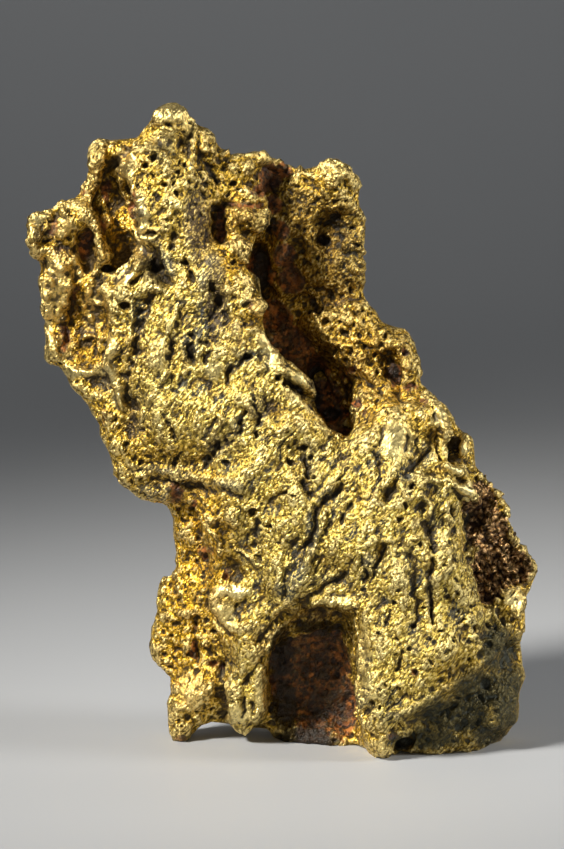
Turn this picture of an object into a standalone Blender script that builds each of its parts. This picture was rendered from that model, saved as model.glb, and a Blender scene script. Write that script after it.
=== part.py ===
"""A natural gold nugget that stands on its own feet: one solid, 0.26 m tall.

Its shape is drawn on the front sheet, the upright plane y = 0, as it is seen from EYE: u runs to the right
and v up, in millimetres. A depth y, away from EYE, then carries each mark along its line of sight, so an
outline stays true whatever depth it gets. A thick front plate and a rear wall give the mass, lumps are
fused on to them, hollows are cut out, and the skin is roughened. The origin is on the ground under the
middle of the nugget.
"""

import math

import bmesh
import bpy
import numpy as np
from mathutils import Matrix

MM = 0.001
EYE_DISTANCE = 1132.5  # mm in front of the front sheet
EYE_HEIGHT = 329.0  # mm above the ground

SLAB_HALF = 20.0  # half the thickness of a blank before it gets its depths
SLAB_VOXEL = 2.5
FUSE_VOXEL = 1.9
MOST_TRIANGLES = 9600

# The whole front but for the rear wall, from the left lobe and round by the top: (u, v).
BASE_OUTLINE = (
    (-86.5, 216), (-79.5, 219.5), (-77, 222), (-76, 227), (-74.5, 233.5), (-73.5, 238.5), (-70.5, 241),
    (-65.5, 241.5), (-59.5, 241), (-55, 242), (-51, 248), (-45, 253), (-38.5, 251.5), (-33, 246), (-28.5, 244.5),
    (-26.5, 241), (-24.5, 237.5), (-20, 236), (-16.5, 235), (-12, 237), (-8, 233.5), (-7.5, 227), (-9.5, 222.5),
    (-7.5, 218), (-3.5, 213.5), (-5, 209.5), (-9.5, 205.5), (-12.5, 201.5), (-13, 195), (-14.5, 191.5),
    (-13.5, 184.5), (-11, 178), (-10.5, 170), (-6, 161), (1, 152), (8, 147), (11, 140), (12.5, 132), (18.5, 124),
    (25, 119.5), (31, 125), (38, 134), (46, 138), (54.5, 139), (63.5, 137), (68, 131),
    (71, 124.5), (75, 123), (76.5, 119), (76.5, 113), (79, 108), (81, 104), (84.5, 100.5), (88.5, 95),
    (90.5, 87.5), (94, 80.5), (98, 76.5), (101.5, 71.5), (99.5, 66.5), (97, 61.5), (97, 54), (96, 42), (96, 25.5),
    (95, 16.5), (93, 9), (89, 1), (83, -6), (72, -13), (58, -14), (50, -12), (45.5, -3), (41, -8), (32, -9),
    (24, -10), (10, -10), (2, -6), (-3, 4), (-8, 6), (-17, 5.5), (-23, 8), (-30.5, 7.5), (-36, 5.5), (-38, 0),
    (-40, -5), (-43, -2), (-46.5, 6), (-46, 17), (-45.5, 24.5), (-48.5, 31), (-52, 36), (-52, 42), (-50.5, 50),
    (-49.5, 56.5), (-46, 62.5), (-43, 68.5), (-42.5, 76.5), (-43.5, 85), (-43.5, 91.5), (-46, 99), (-52, 100),
    (-56, 105), (-65, 115), (-70, 127), (-75, 137), (-80, 145), (-85, 151), (-89, 159), (-91.5, 167), (-94, 175),
    (-94, 182), (-92, 187.5), (-93, 193), (-96, 195.5), (-99, 198.5), (-99.5, 203), (-98, 209.5), (-95, 213),
    (-91, 216),
)

# Where its front and its back lie: (u, v, y).
BASE_FRONT = (
    (-70.5, 237.5, 3), (-64.5, 237.5, 6), (-94, 206, 4), (-85.5, 213, 3), (-67, 220, 11), (-61, 208, 11),
    (-65, 198.5, 10), (-77, 202, 6), (-76, 212, 2), (-72, 204, 3), (-68.5, 195, 3), (-87, 200, 4),
    (-81, 172, 9), (-90.5, 178.5, 3), (-86.5, 155, 3), (-83, 190, 3), (-73.5, 163, 5), (-72, 178, 5),
    (-42.5, 249, 4), (-30, 241, 3), (-18, 232.5, 4), (-11.5, 230.5, 6), (-16.5, 222, 6), (-16.5, 212, -1),
    (-8, 212.5, 2), (-19, 198.5, -3), (-14.5, 186.5, -2), (-28, 218, 0), (-43.5, 218, 0), (-44, 178.5, -3),
    (-20.5, 167, -5), (-44, 139, -4), (-12.5, 131, -6), (-64, 123, 3), (23, 115, -8), (58.5, 127, -12),
    (72, 119, -8), (-38.5, 91, 4), (-40.5, 76.5, 5), (-47.5, 58.5, 9), (-49.5, 40, 11), (-32.5, 58.5, -1),
    (-33, 38, -1), (-42.5, 25.5, 5), (-39, 15, -1), (-40, 0, -4), (-29, 17, -2), (-16.5, 50, -6), (7, 74.5, -8),
    (39, 83, -12), (63, 74.5, -12), (7, 49.5, -6), (5, 33.5, 5), (17, 33.5, 7), (11, 17, 5), (25, 17, 3),
    (19.5, -3, -7), (3, 1.5, -3), (74.5, 103, -13), (81.5, 95, -7), (78, 83, -12), (89, 83, -3), (98, 70.5, 4),
    (86.5, 68.5, -6), (92.5, 59.5, -15), (47.5, 6, -28), (63.5, 12, -26), (75.5, 18.5, -24), (87, 32.5, -18),
    (92, 46, -14), (94, 33.5, -6), (86, 17, -14), (73.5, 2, -18), (59.5, -3, -20), (72, -10, -17),
    (89.5, 7, -8), (39, 38, -14),
)

BASE_BACK = (
    (-43, 250, 16), (-30, 240, 20), (-70, 236, 20), (-94, 206, 18), (-60, 215, 24), (-40, 225, 21),
    (-20, 228, 25), (-85, 185, 20), (-65, 190, 16), (-45, 195, 20), (-25, 200, 24), (-85, 160, 17),
    (-62, 160, 22), (-40, 165, 28), (-20, 175, 28), (-70, 135, 18), (-50, 135, 25), (-30, 140, 29),
    (-10, 145, 26), (8, 145, 32), (-60, 110, 16), (-40, 110, 21), (-20, 115, 27), (0, 120, 27), (18, 124, 29),
    (38, 134, 28), (60, 130, 15), (-40, 88, 18), (-20, 90, 24), (0, 95, 17), (20, 95, 14), (42, 100, 21),
    (65, 105, 19), (80, 100, 12), (-42, 65, 15), (-22, 65, 19), (0, 68, 24), (22, 70, 17), (45, 72, 24),
    (68, 75, 16), (90, 75, 13), (-48, 45, 17), (-30, 42, 16), (-8, 42, 22), (15, 42, 13), (38, 45, 21),
    (60, 45, 24), (85, 45, 14), (-42, 18, 11), (-25, 18, 17), (-5, 15, 17), (18, 12, 12), (40, 12, 19),
    (62, 15, 21), (85, 15, 12), (-40, 0, 8), (-28, 0, 13), (10, -8, 13), (40, -8, 15), (70, -8, 16),
    (90, 5, 10),
)

# The raised plate on the front, from the knob at the top and round by the right.
PLATE_OUTLINE = (
    (-43.5, 255.5), (-38.5, 253.5), (-35, 249), (-32.5, 243.5), (-33.5, 237.5), (-30.5, 231), (-27, 222.5),
    (-26.5, 212), (-25.5, 201), (-19.5, 193.5), (-15, 190), (-12.5, 183.5), (-9, 178), (-7.5, 173), (-10, 170),
    (-4.5, 161), (3, 152.5), (9, 148), (12, 142.5), (14, 133.5), (20, 125.5), (25, 122.5), (30, 128), (35.5, 134),
    (41.5, 137.5), (48.5, 138.5), (56.5, 138.5), (62, 136.5), (66, 130.5), (68, 123), (70, 112), (72, 102),
    (72.5, 91), (73, 80.5), (76.5, 70), (80.5, 59), (85.5, 51), (90, 44.5), (88.5, 38), (82.5, 29), (74, 19.5),
    (63.5, 12.5), (52, 7.5), (48, 1.5), (46, -5), (42.5, -9), (38, -9), (34, -4), (31, 5.5), (30, 21.5),
    (30.5, 38), (28.5, 48.5), (23, 55), (16, 57), (8.5, 55), (1.5, 48), (-4, 40), (-5.5, 29), (-5, 17), (-7, 9),
    (-12, 5.5), (-15.5, 1.5), (-19.5, 6), (-23.5, 9), (-25, 18), (-25, 26.5), (-20, 33.5), (-24, 44), (-27, 54),
    (-28, 68.5), (-30, 80.5), (-31.5, 91), (-36.5, 97), (-41, 100), (-46.5, 97.5), (-52.5, 97.5), (-59, 100),
    (-65, 106), (-68.5, 117), (-71.5, 127), (-76.5, 138), (-82, 147.5), (-77.5, 151.5), (-70, 156), (-67.5, 165),
    (-69, 174), (-68.5, 181.5), (-63, 188), (-56.5, 196), (-54, 204.5), (-55, 212.5), (-58, 219), (-61, 225.5),
    (-65, 231), (-59.5, 237.5), (-55, 242), (-51, 248), (-49, 253),
)

PLATE_FRONT = (
    (-42.5, 252, 0), (-47, 246, -4), (-35.5, 243, 1), (-51, 230.5, -8), (-59, 230.5, -4), (-43, 218, -9),
    (-50.5, 198.5, -8), (-30.5, 222, -6), (-31, 205.5, -10), (-64, 178.5, -6), (-64.5, 159, -7),
    (-74.5, 145, -2), (-48, 159, -12), (-23.5, 182.5, -13), (-13.5, 175, -12), (-12.5, 159, -15),
    (-64, 123, -5), (-54, 105, -3), (-40, 131, -13), (-12.5, 131, -18), (15, 123, -19), (5, 145, -16),
    (40.5, 131, -20), (59, 131, -17), (64.5, 121, -18), (-38.5, 105, -6), (-16.5, 99, -18), (15, 99, -24),
    (46.5, 99, -29), (65.5, 99, -24), (-20.5, 74.5, -11), (7, 74.5, -23), (39, 74.5, -31), (63, 74.5, -30),
    (72.5, 74.5, -23), (81, 54, -22), (87, 42, -17), (-21.5, 54, -11), (-9.5, 42, -16), (19, 58.5, -24),
    (35, 42, -31), (59, 42, -32), (79, 33.5, -25), (-17, 17, -10), (-22.5, 5, -7), (-8, 13, -11),
    (33.5, 17, -33), (47.5, 17, -32), (63.5, 17, -28), (40.5, -3.5, -31),
)

PLATE_BACK = ((-43, 250, 16), (-50, 200, 12), (0, 120, 12), (30, 60, 10), (40, 0, -6), (-20, 10, 10), (85, 45, 4))

# The rear wall, set back behind the crevice.
WALL_OUTLINE = (
    (-30, 233.5), (-23.5, 236.5), (-16.5, 235.5), (-12, 237), (-8, 236), (-4.5, 234), (-0.5, 233), (4, 232.5),
    (8, 229.5), (13, 230), (15, 233), (19.5, 234), (23.5, 232.5), (27, 229.5), (30, 225.5), (30.5, 221.5),
    (30, 216.5), (30.5, 212.5), (32, 208), (32.5, 202.5), (32.5, 197), (31.5, 192), (31.5, 186.5), (32, 182.5),
    (33.5, 177), (36.5, 171), (42, 158), (42, 140), (36, 118), (22, 108), (6, 112), (-8.5, 139), (-20.5, 163),
    (-28, 178.5), (-34, 202.5),
)

WALL_FRONT = (
    (-16.5, 231.5, 12), (-9.5, 230.5, 12), (-2.5, 226.5, 22), (6, 225.5, 16), (19.5, 229.5, 10),
    (26.5, 222, 11), (20.5, 212, 16), (11, 208, 15), (1, 216, 20), (28.5, 204.5, 12), (20, 202.5, 20),
    (17, 193.5, 15), (27.5, 190.5, 13), (-1, 196.5, 20), (-8, 198.5, 29), (-8, 184.5, 31), (1, 178.5, 24),
    (11, 182.5, 18), (24.5, 180.5, 15), (1, 165, 20), (7, 157, 22), (17, 145, 26), (17, 131, 24), (36, 130, 20), (38, 150, 18),
    (26.5, 163, 14), (-22, 198.5, 20),
)

WALL_BACK = (
    (-20, 232, 26), (-5, 228, 31), (20, 228, 26), (28, 205, 25), (10, 205, 33), (-10, 205, 36), (-20, 190, 35),
    (5, 185, 37), (25, 185, 28), (15, 165, 35), (-5, 165, 35), (32, 165, 27), (20, 140, 33), (5, 145, 34),
    (20, 125, 30), (38, 130, 26), (38, 155, 26),
)

# The block that steps forward below the wall.
BLOCK_OUTLINE = (
    (7.5, 172), (11, 174), (15.5, 175), (21, 177), (27.5, 178.5), (33, 178.5), (35, 174), (40, 168.5),
    (45, 164.5), (50, 160.5), (53, 156), (54, 150), (54.5, 145.5), (57, 141), (58, 137.5), (64.5, 136.5),
    (68, 129), (62.5, 121), (46.5, 117), (34, 119), (29, 124), (27.5, 130), (27, 137), (28.5, 144), (28, 149.5),
    (22.5, 153.5), (15, 159), (9, 165),
)

BLOCK_FRONT = (
    (11.5, 170, 12), (19, 172.5, 6), (29, 175, 3), (24.5, 165, 6), (36.5, 165, 2), (48.5, 157, -1),
    (17, 160, 14), (30.5, 157, 3), (27.5, 150, 4), (40.5, 150, 4), (52.5, 147, 0), (30.5, 141, 0),
    (29, 131, -5), (42.5, 137, -8), (56.5, 138.5, -9), (38.5, 129, -16), (62.5, 129, -15), (50.5, 123, -18),
)

BLOCK_BACK = ((12, 170, 30), (30, 170, 28), (45, 158, 22), (54, 148, 18), (36, 150, 28), (40, 130, 26), (62, 130, 16))

# Knobs and lobes that stand out: (u, v, y, (width, depth, height) radii, tilt in degrees).
LUMPS = (
    (-43.5, 248, 5, (7.5, 10, 7.5), 0),
    (-31, 240, 8, (5.5, 9, 6.5), 20),
    (-70, 234.5, 12, (6, 9, 7), 0),
    (-64, 236, 14, (5, 8, 5), 0),
    (-86, 208, 11, (9, 8, 7.5), -20),
    (-93.5, 203, 10, (5.5, 8, 5.5), 0),
    (-91, 184, 11, (4, 8, 9), 0),
    (-88, 160, 10, (4.5, 8, 9), 25),
    (-77, 147, 6, (8, 8, 5), 25),
    (-72, 160, 3, (4, 8, 6), 0),
    (-71, 201, 7, (3, 7, 12), -25),
    (-77, 211, 7, (7, 7, 3), 15),
    (-16.5, 212, 5, (8, 9, 5.5), 25),
    (-8, 211, 7, (5, 8, 4), 20),
    (-12, 220, 10, (6, 7, 5), 0),
    (-18, 200, 3, (6.5, 8, 6), 20),
    (-13.5, 183, 0, (5, 8, 7), 10),
    (-10, 175, -4, (3.5, 8, 4), 0),
    (8.5, 146, -8, (6, 7, 3), 35),
    (20.5, 227, 20, (8, 11, 6.5), 0),
    (26, 221, 22, (5, 10, 7), 0),
    (-9, 232, 20, (6, 9, 5), 0),
    (28, 205, 24, (5, 9, 10), 0),
    (27.5, 191, 22, (5, 10, 6), 0),
    (0, 205, 22, (3.5, 6, 22), 8),
    (43, 161, 14, (9, 12, 7), -35),
    (50.5, 153, 12, (4.5, 9, 7), -20),
    (56, 138, 2, (6, 9, 5), 0),
    (53, 131, -8, (10, 9, 7), 10),
    (71, 122, 0, (4, 8, 4.5), 0),
    (74, 115, 0, (3.5, 8, 4), 0),
    (72, 108, -10, (3, 8, 5), 0),
    (77, 103, -6, (2.5, 7, 6), -35),
    (92.5, 59, -5, (5, 9, 5.5), 0),
    (97, 70.5, 8, (5, 8, 6), 0),
    (88.5, 84, 6, (4, 8, 9), -20),
    (-47, 42, 16, (6, 11, 11), 0),
    (-45, 58, 17, (5, 10, 10), 0),
    (-41, 12, 6, (5.5, 9, 13), 0),
    (-31, 21.5, 4, (6, 9, 10), 0),
    (-18, 14, 2, (6.5, 9, 9), 0),
    (40, 4, -20, (6.5, 10, 12), 0),
    (82, 18, -4, (12, 16, 16), -20),
    (-52, 228, 22, (11, 7, 7), -20),
    (-88, 196, 17, (7, 6, 11), 15),
    (-30, 186, 26, (9, 7, 14), 30),
    (-66, 146, 21, (12, 6, 8), -25),
    (14, 196, 32, (8, 6, 15), 10),
    (-8, 126, 24, (10, 7, 16), 35),
    (48, 116, 20, (14, 7, 8), 25),
    (-34, 74, 18, (8, 7, 12), -10),
    (76, 62, 18, (13, 7, 9), -30),
    (30, 54, 20, (8, 6, 14), 20),
    (-16, 28, 18, (11, 7, 8), 10),
    (66, 26, 20, (9, 7, 12), -15),
)

# Round hollows, cut to their full size: as the lumps.
HOLLOWS = (
    (-78, 200, 3, (3.5, 7, 7), 5),
    (-65, 217, 4, (4.5, 7, 9), 15),
    (-61, 202, 4, (5, 6, 6), -10),
    (-68.5, 191.5, 2, (3.5, 6, 2.5), 0),
    (-82.5, 172, 1, (5.5, 7, 11), 5),
    (-77, 160, 1, (5, 6, 5), 30),
    (-50, 192, -12, (5, 5, 4), 0),
    (-26, 207, -6, (2, 5, 6), 0),
    (-8, 225, 8, (7, 7, 5), -20),
    (21, 205, 9, (6, 6, 8), 0),
    (43.5, 149, -4, (4, 8, 7), 20),
    (75, 90, -17, (4.5, 8, 12), 0),
    (86, 76, -14, (6, 8, 9), 20),
    (49, 104, -32, (4.5, 6, 4.5), 0),
    (48, 92, -32, (4, 6, 3.5), 0),
    (59.5, 64, -34, (2.5, 6, 10), 0),
    (4, 78, -27, (3, 7, 14), 20),
    (12, 62, -28, (12, 5, 3.5), -10),
    (48.5, -2, -24, (3.5, 12, 6), 0),
    (-56, 178, 32, (9, 10, 13), 20),
    (-12, 212, 38, (7, 8, 11), 10),
    (-50, 112, 30, (7, 9, 9), -20),
    (14, 112, 30, (11, 11, 8), 15),
    (62, 118, 30, (8, 11, 7), 0),
    (2, 84, 32, (7, 10, 12), 20),
    (62, 90, 31, (9, 11, 8), -15),
    (16, 38, 29, (9, 12, 14), 0),
    (84, 30, 26, (7, 9, 9), 0),
)

# Worm-like burrows: balls (u, v, y, radius) strung along a path.
BURROWS = (
    ((-13, 206, 16, 4), (-9, 196, 20, 6), (-7, 184, 20, 7), (0, 172, 19, 6.5), (4, 163, 16, 6.5), (14, 151, 17, 7)),
    ((14, 151, 17, 7), (16, 145, 22, 7), (17, 135, 20, 7), (22, 128, 12, 5)),
    ((-6, 178, 8, 4), (3, 165, 8, 6), (12, 152, 8, 6), (19, 138, 8, 6)),
)

# What the underside is scooped out with: (u, v, y, radii, tilt).
SCOOPS = (
    (-29, -2, 4, (8, 18, 10), 0),
    (-16, -2, 22, (15, 12, 14), 0),
    (12, -1, 22, (14, 11, 12), 0),
    (44, -2, 16, (13, 20, 14), 0),
    (78, -1, 18, (19, 16, 16), 0),
)


def on_sight_line(u, v, y):
    """The point at depth y on the line from EYE through (u, v) on the front sheet, all in millimetres."""
    reach = 1 + np.asarray(y) / EYE_DISTANCE
    return u * reach, y, EYE_HEIGHT + (v - EYE_HEIGHT) * reach


def seen_from_eye(points):
    """The front sheet's (u, v) of points in millimetres."""
    reach = 1 + points[:, 1] / EYE_DISTANCE
    return np.stack([points[:, 0] / reach, EYE_HEIGHT + (points[:, 2] - EYE_HEIGHT) / reach], 1)


def points_of(mesh):
    """A mesh's points, in millimetres."""
    flat = np.empty(len(mesh.vertices) * 3)
    mesh.vertices.foreach_get("co", flat)
    return flat.reshape(-1, 3) / MM


def set_points(mesh, points):
    mesh.vertices.foreach_set("co", (points * MM).ravel())
    mesh.update()


def add_object(name, mesh):
    made = bpy.data.objects.new(name, mesh)
    bpy.context.scene.collection.objects.link(made)
    return made


def settle(obj):
    """Makes the object's modified shape its own mesh."""
    graph = bpy.context.evaluated_depsgraph_get()
    mesh = bpy.data.meshes.new_from_object(obj.evaluated_get(graph))
    obj.modifiers.clear()
    obj.data = mesh
    return obj


def remesh(obj, voxel):
    modifier = obj.modifiers.new("fuse", "REMESH")
    modifier.mode = "VOXEL"
    modifier.voxel_size = voxel * MM
    return settle(obj)


def distance_to(outline, points):
    """How far each point lies from a closed outline."""
    start = np.array(outline, float)
    run = np.roll(start, -1, 0) - start
    away = points[:, None] - start
    share = np.clip((away * run).sum(2) / (run * run).sum(1), 0, 1)
    return np.linalg.norm(away - share[..., None] * run, axis=2).min(1)


def between_marks(marks, points):
    """Smooth depths at points from marks (u, v, y), each holding the ground near it."""
    marks = np.array(marks, float)
    away = ((points[:, None] - marks[:, :2]) ** 2).sum(2)
    weight = 1 / (away + 5.0**2) ** 2
    return weight @ marks[:, 2] / weight.sum(1)


def slab(name, outline, front, back, rim):
    """A closed body with that outline on the front sheet and those depths, rounded over rim mm at its edge."""
    bm = bmesh.new()
    face = bm.faces.new([bm.verts.new((u * MM, -SLAB_HALF * MM, v * MM)) for u, v in outline])
    grown = bmesh.ops.extrude_face_region(bm, geom=[face])["geom"]
    corners = [part for part in grown if isinstance(part, bmesh.types.BMVert)]
    bmesh.ops.translate(bm, verts=corners, vec=(0, 2 * SLAB_HALF * MM, 0))
    bmesh.ops.recalc_face_normals(bm, faces=bm.faces)
    mesh = bpy.data.meshes.new(name)
    bm.to_mesh(mesh)
    bm.free()
    body = remesh(add_object(name, mesh), SLAB_VOXEL)
    points = points_of(body.data)
    sheet = points[:, [0, 2]]
    near = between_marks(front, sheet)
    far = between_marks(back, sheet)
    inset = np.clip(distance_to(outline, sheet) / rim, 0, 1)
    fullness = np.sqrt(1 - (1 - inset) ** 2)
    side = np.clip(points[:, 1] / SLAB_HALF, -1, 1)
    depth = (near + far) / 2 + side * fullness * (far - near) / 2
    set_points(body.data, np.stack(on_sight_line(sheet[:, 0], sheet[:, 1], depth), 1))
    return body


def ball(u, v, y, radii, tilt):
    """An egg-shaped lump with those radii along X, Y and Z, tilted about Y."""
    bm = bmesh.new()
    bmesh.ops.create_icosphere(bm, subdivisions=3, radius=1)
    place = Matrix.Translation([c * MM for c in on_sight_line(u, v, y)])
    turn = Matrix.Rotation(math.radians(tilt), 4, "Y")
    size = Matrix.Diagonal((*(r * MM for r in radii), 1))
    bmesh.ops.transform(bm, matrix=place @ turn @ size, verts=bm.verts)
    mesh = bpy.data.meshes.new("lump")
    bm.to_mesh(mesh)
    bm.free()
    return add_object("lump", mesh)


def burrow(stops):
    """Balls strung closely between the stops of a path."""
    made = []
    for (u0, v0, y0, r0), (u1, v1, y1, r1) in zip(stops, stops[1:]):
        length = math.dist((u0, v0, y0), (u1, v1, y1))
        steps = max(2, math.ceil(length / (0.4 * min(r0, r1))))
        for t in np.linspace(0, 1, steps):
            u, v, y, r = (a + (b - a) * t for a, b in ((u0, u1), (v0, v1), (y0, y1), (r0, r1)))
            made.append(ball(u, v, y, (r, r, r), 0))
    return made


def fuse(name, objects, voxel):
    """One closed body from overlapping ones."""
    bm = bmesh.new()
    for obj in objects:
        bm.from_mesh(obj.data)
        bpy.data.objects.remove(obj)
    mesh = bpy.data.meshes.new(name)
    bm.to_mesh(mesh)
    bm.free()
    return remesh(add_object(name, mesh), voxel)


def cut(body, cutter):
    modifier = body.modifiers.new("cut", "BOOLEAN")
    modifier.operation = "DIFFERENCE"
    modifier.solver = "EXACT"
    modifier.object = cutter
    settle(body)
    bpy.data.objects.remove(cutter)
    return body


def smooth(body, factor, rounds):
    modifier = body.modifiers.new("smooth", "SMOOTH")
    modifier.factor = factor
    modifier.iterations = rounds
    return settle(body)


def roughen(body, kind, size, strength, **settings):
    """Pushes the skin in and out by a solid texture with features of that size, both in millimetres."""
    texture = bpy.data.textures.new(kind.lower(), kind)
    texture.noise_scale = size * MM
    for name, value in settings.items():
        setattr(texture, name, value)
    modifier = body.modifiers.new("roughen", "DISPLACE")
    modifier.texture = texture
    modifier.texture_coords = "LOCAL"
    modifier.strength = strength * MM
    modifier.mid_level = 0.5
    return settle(body)


def keep_largest(body):
    """Drops every loose bit but the largest."""
    bm = bmesh.new()
    bm.from_mesh(body.data)
    waiting = set(bm.verts)
    bits = []
    while waiting:
        bit = [waiting.pop()]
        for vert in bit:
            near = {edge.other_vert(vert) for edge in vert.link_edges} & waiting
            waiting -= near
            bit.extend(near)
        bits.append(bit)
    bits.sort(key=len)
    bmesh.ops.delete(bm, geom=[vert for bit in bits[:-1] for vert in bit], context="VERTS")
    bm.to_mesh(body.data)
    bm.free()


def thin_out(body, triangles):
    """Brings the mesh down to that many triangles, fewest where it is flattest."""
    now = sum(len(face.vertices) - 2 for face in body.data.polygons)
    modifier = body.modifiers.new("thin", "DECIMATE")
    modifier.ratio = triangles / now
    modifier.use_collapse_triangulate = True
    return settle(body)


def stand_on_ground(body):
    """Cuts off what is under the ground, which leaves a flat sole on each foot."""
    bm = bmesh.new()
    bm.from_mesh(body.data)
    everything = [*bm.verts, *bm.edges, *bm.faces]
    made = bmesh.ops.bisect_plane(
        bm, geom=everything, plane_co=(0, 0, 0), plane_no=(0, 0, -1), dist=1e-6, clear_outer=True
    )["geom_cut"]
    rims = [part for part in made if isinstance(part, bmesh.types.BMEdge)]
    bmesh.ops.edgeloop_fill(bm, edges=rims)
    bmesh.ops.triangulate(bm, faces=bm.faces)
    bmesh.ops.recalc_face_normals(bm, faces=bm.faces)
    bm.to_mesh(body.data)
    bm.free()


def centre(body):
    """Puts the origin on the ground under the middle of the body."""
    points = points_of(body.data)
    middle = (points.max(0) + points.min(0)) / 2
    set_points(body.data, points - (middle[0], middle[1], 0))


def gold():
    material = bpy.data.materials.new("native gold")
    material.use_nodes = True
    surface = material.node_tree.nodes["Principled BSDF"]
    surface.inputs["Base Color"].default_value = (0.72, 0.50, 0.16, 1)
    surface.inputs["Metallic"].default_value = 1
    surface.inputs["Roughness"].default_value = 0.38
    return material


def build():
    for obj in list(bpy.data.objects):
        bpy.data.objects.remove(obj)
    masses = [
        slab("base", BASE_OUTLINE, BASE_FRONT, BASE_BACK, 9),
        slab("plate", PLATE_OUTLINE, PLATE_FRONT, PLATE_BACK, 6),
        slab("wall", WALL_OUTLINE, WALL_FRONT, WALL_BACK, 8),
        slab("block", BLOCK_OUTLINE, BLOCK_FRONT, BLOCK_BACK, 6),
    ]
    masses += [ball(*lump) for lump in LUMPS]
    nugget = fuse("gold_nugget", masses, FUSE_VOXEL)
    smooth(nugget, 0.5, 2)
    cutters = [ball(*hollow) for hollow in (*HOLLOWS, *SCOOPS)]
    for stops in BURROWS:
        cutters += burrow(stops)
    cut(nugget, fuse("hollows", cutters, FUSE_VOXEL))
    remesh(nugget, FUSE_VOXEL)
    keep_largest(nugget)
    smooth(nugget, 0.5, 2)
    roughen(nugget, "CLOUDS", 12, 3)
    roughen(nugget, "VORONOI", 9, -2)
    thin_out(nugget, MOST_TRIANGLES)
    stand_on_ground(nugget)
    keep_largest(nugget)
    centre(nugget)
    nugget.data.materials.clear()
    nugget.data.materials.append(gold())
    nugget.data.shade_smooth()


build()
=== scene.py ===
"""Looks of a gold nugget: one heavy lump, worn, pitted and creased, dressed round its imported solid.

The front of the lump is drawn on an upright sheet, in millimetres: across to the right and up from the
ground, seen from an eye in front of it. Swells, creases, ridges, pits and knobs are given by their places on
that sheet, and are worked into the metal where it faces the eye. Beads of metal are given by their places in
the round, and fused on. The rest of the skin is worked by grain, sponge and pits that run all the way round.
"""

import math

import bmesh
import bpy
import numpy as np
from mathutils import Matrix, Vector, kdtree, noise


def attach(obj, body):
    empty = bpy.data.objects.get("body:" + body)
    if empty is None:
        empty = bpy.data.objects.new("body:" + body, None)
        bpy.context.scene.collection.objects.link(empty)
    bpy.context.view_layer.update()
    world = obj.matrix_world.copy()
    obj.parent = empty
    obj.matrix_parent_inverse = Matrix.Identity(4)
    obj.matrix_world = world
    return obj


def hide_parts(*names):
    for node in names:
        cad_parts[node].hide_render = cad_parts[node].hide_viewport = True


MM = 0.001

# The drawing sheet and the eye that looks at it, in millimetres. The camera stands at that eye.
EYE_DISTANCE = 1132.5
EYE_HEIGHT = 329.0
SHEET_MIDDLE = (1.0, 2.05, 0.0)

# The skin's mesh.
SEWING_REACH = 0.01 * MM
VOXEL = 0.65 * MM
MOST_TRIANGLES = 192000

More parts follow.
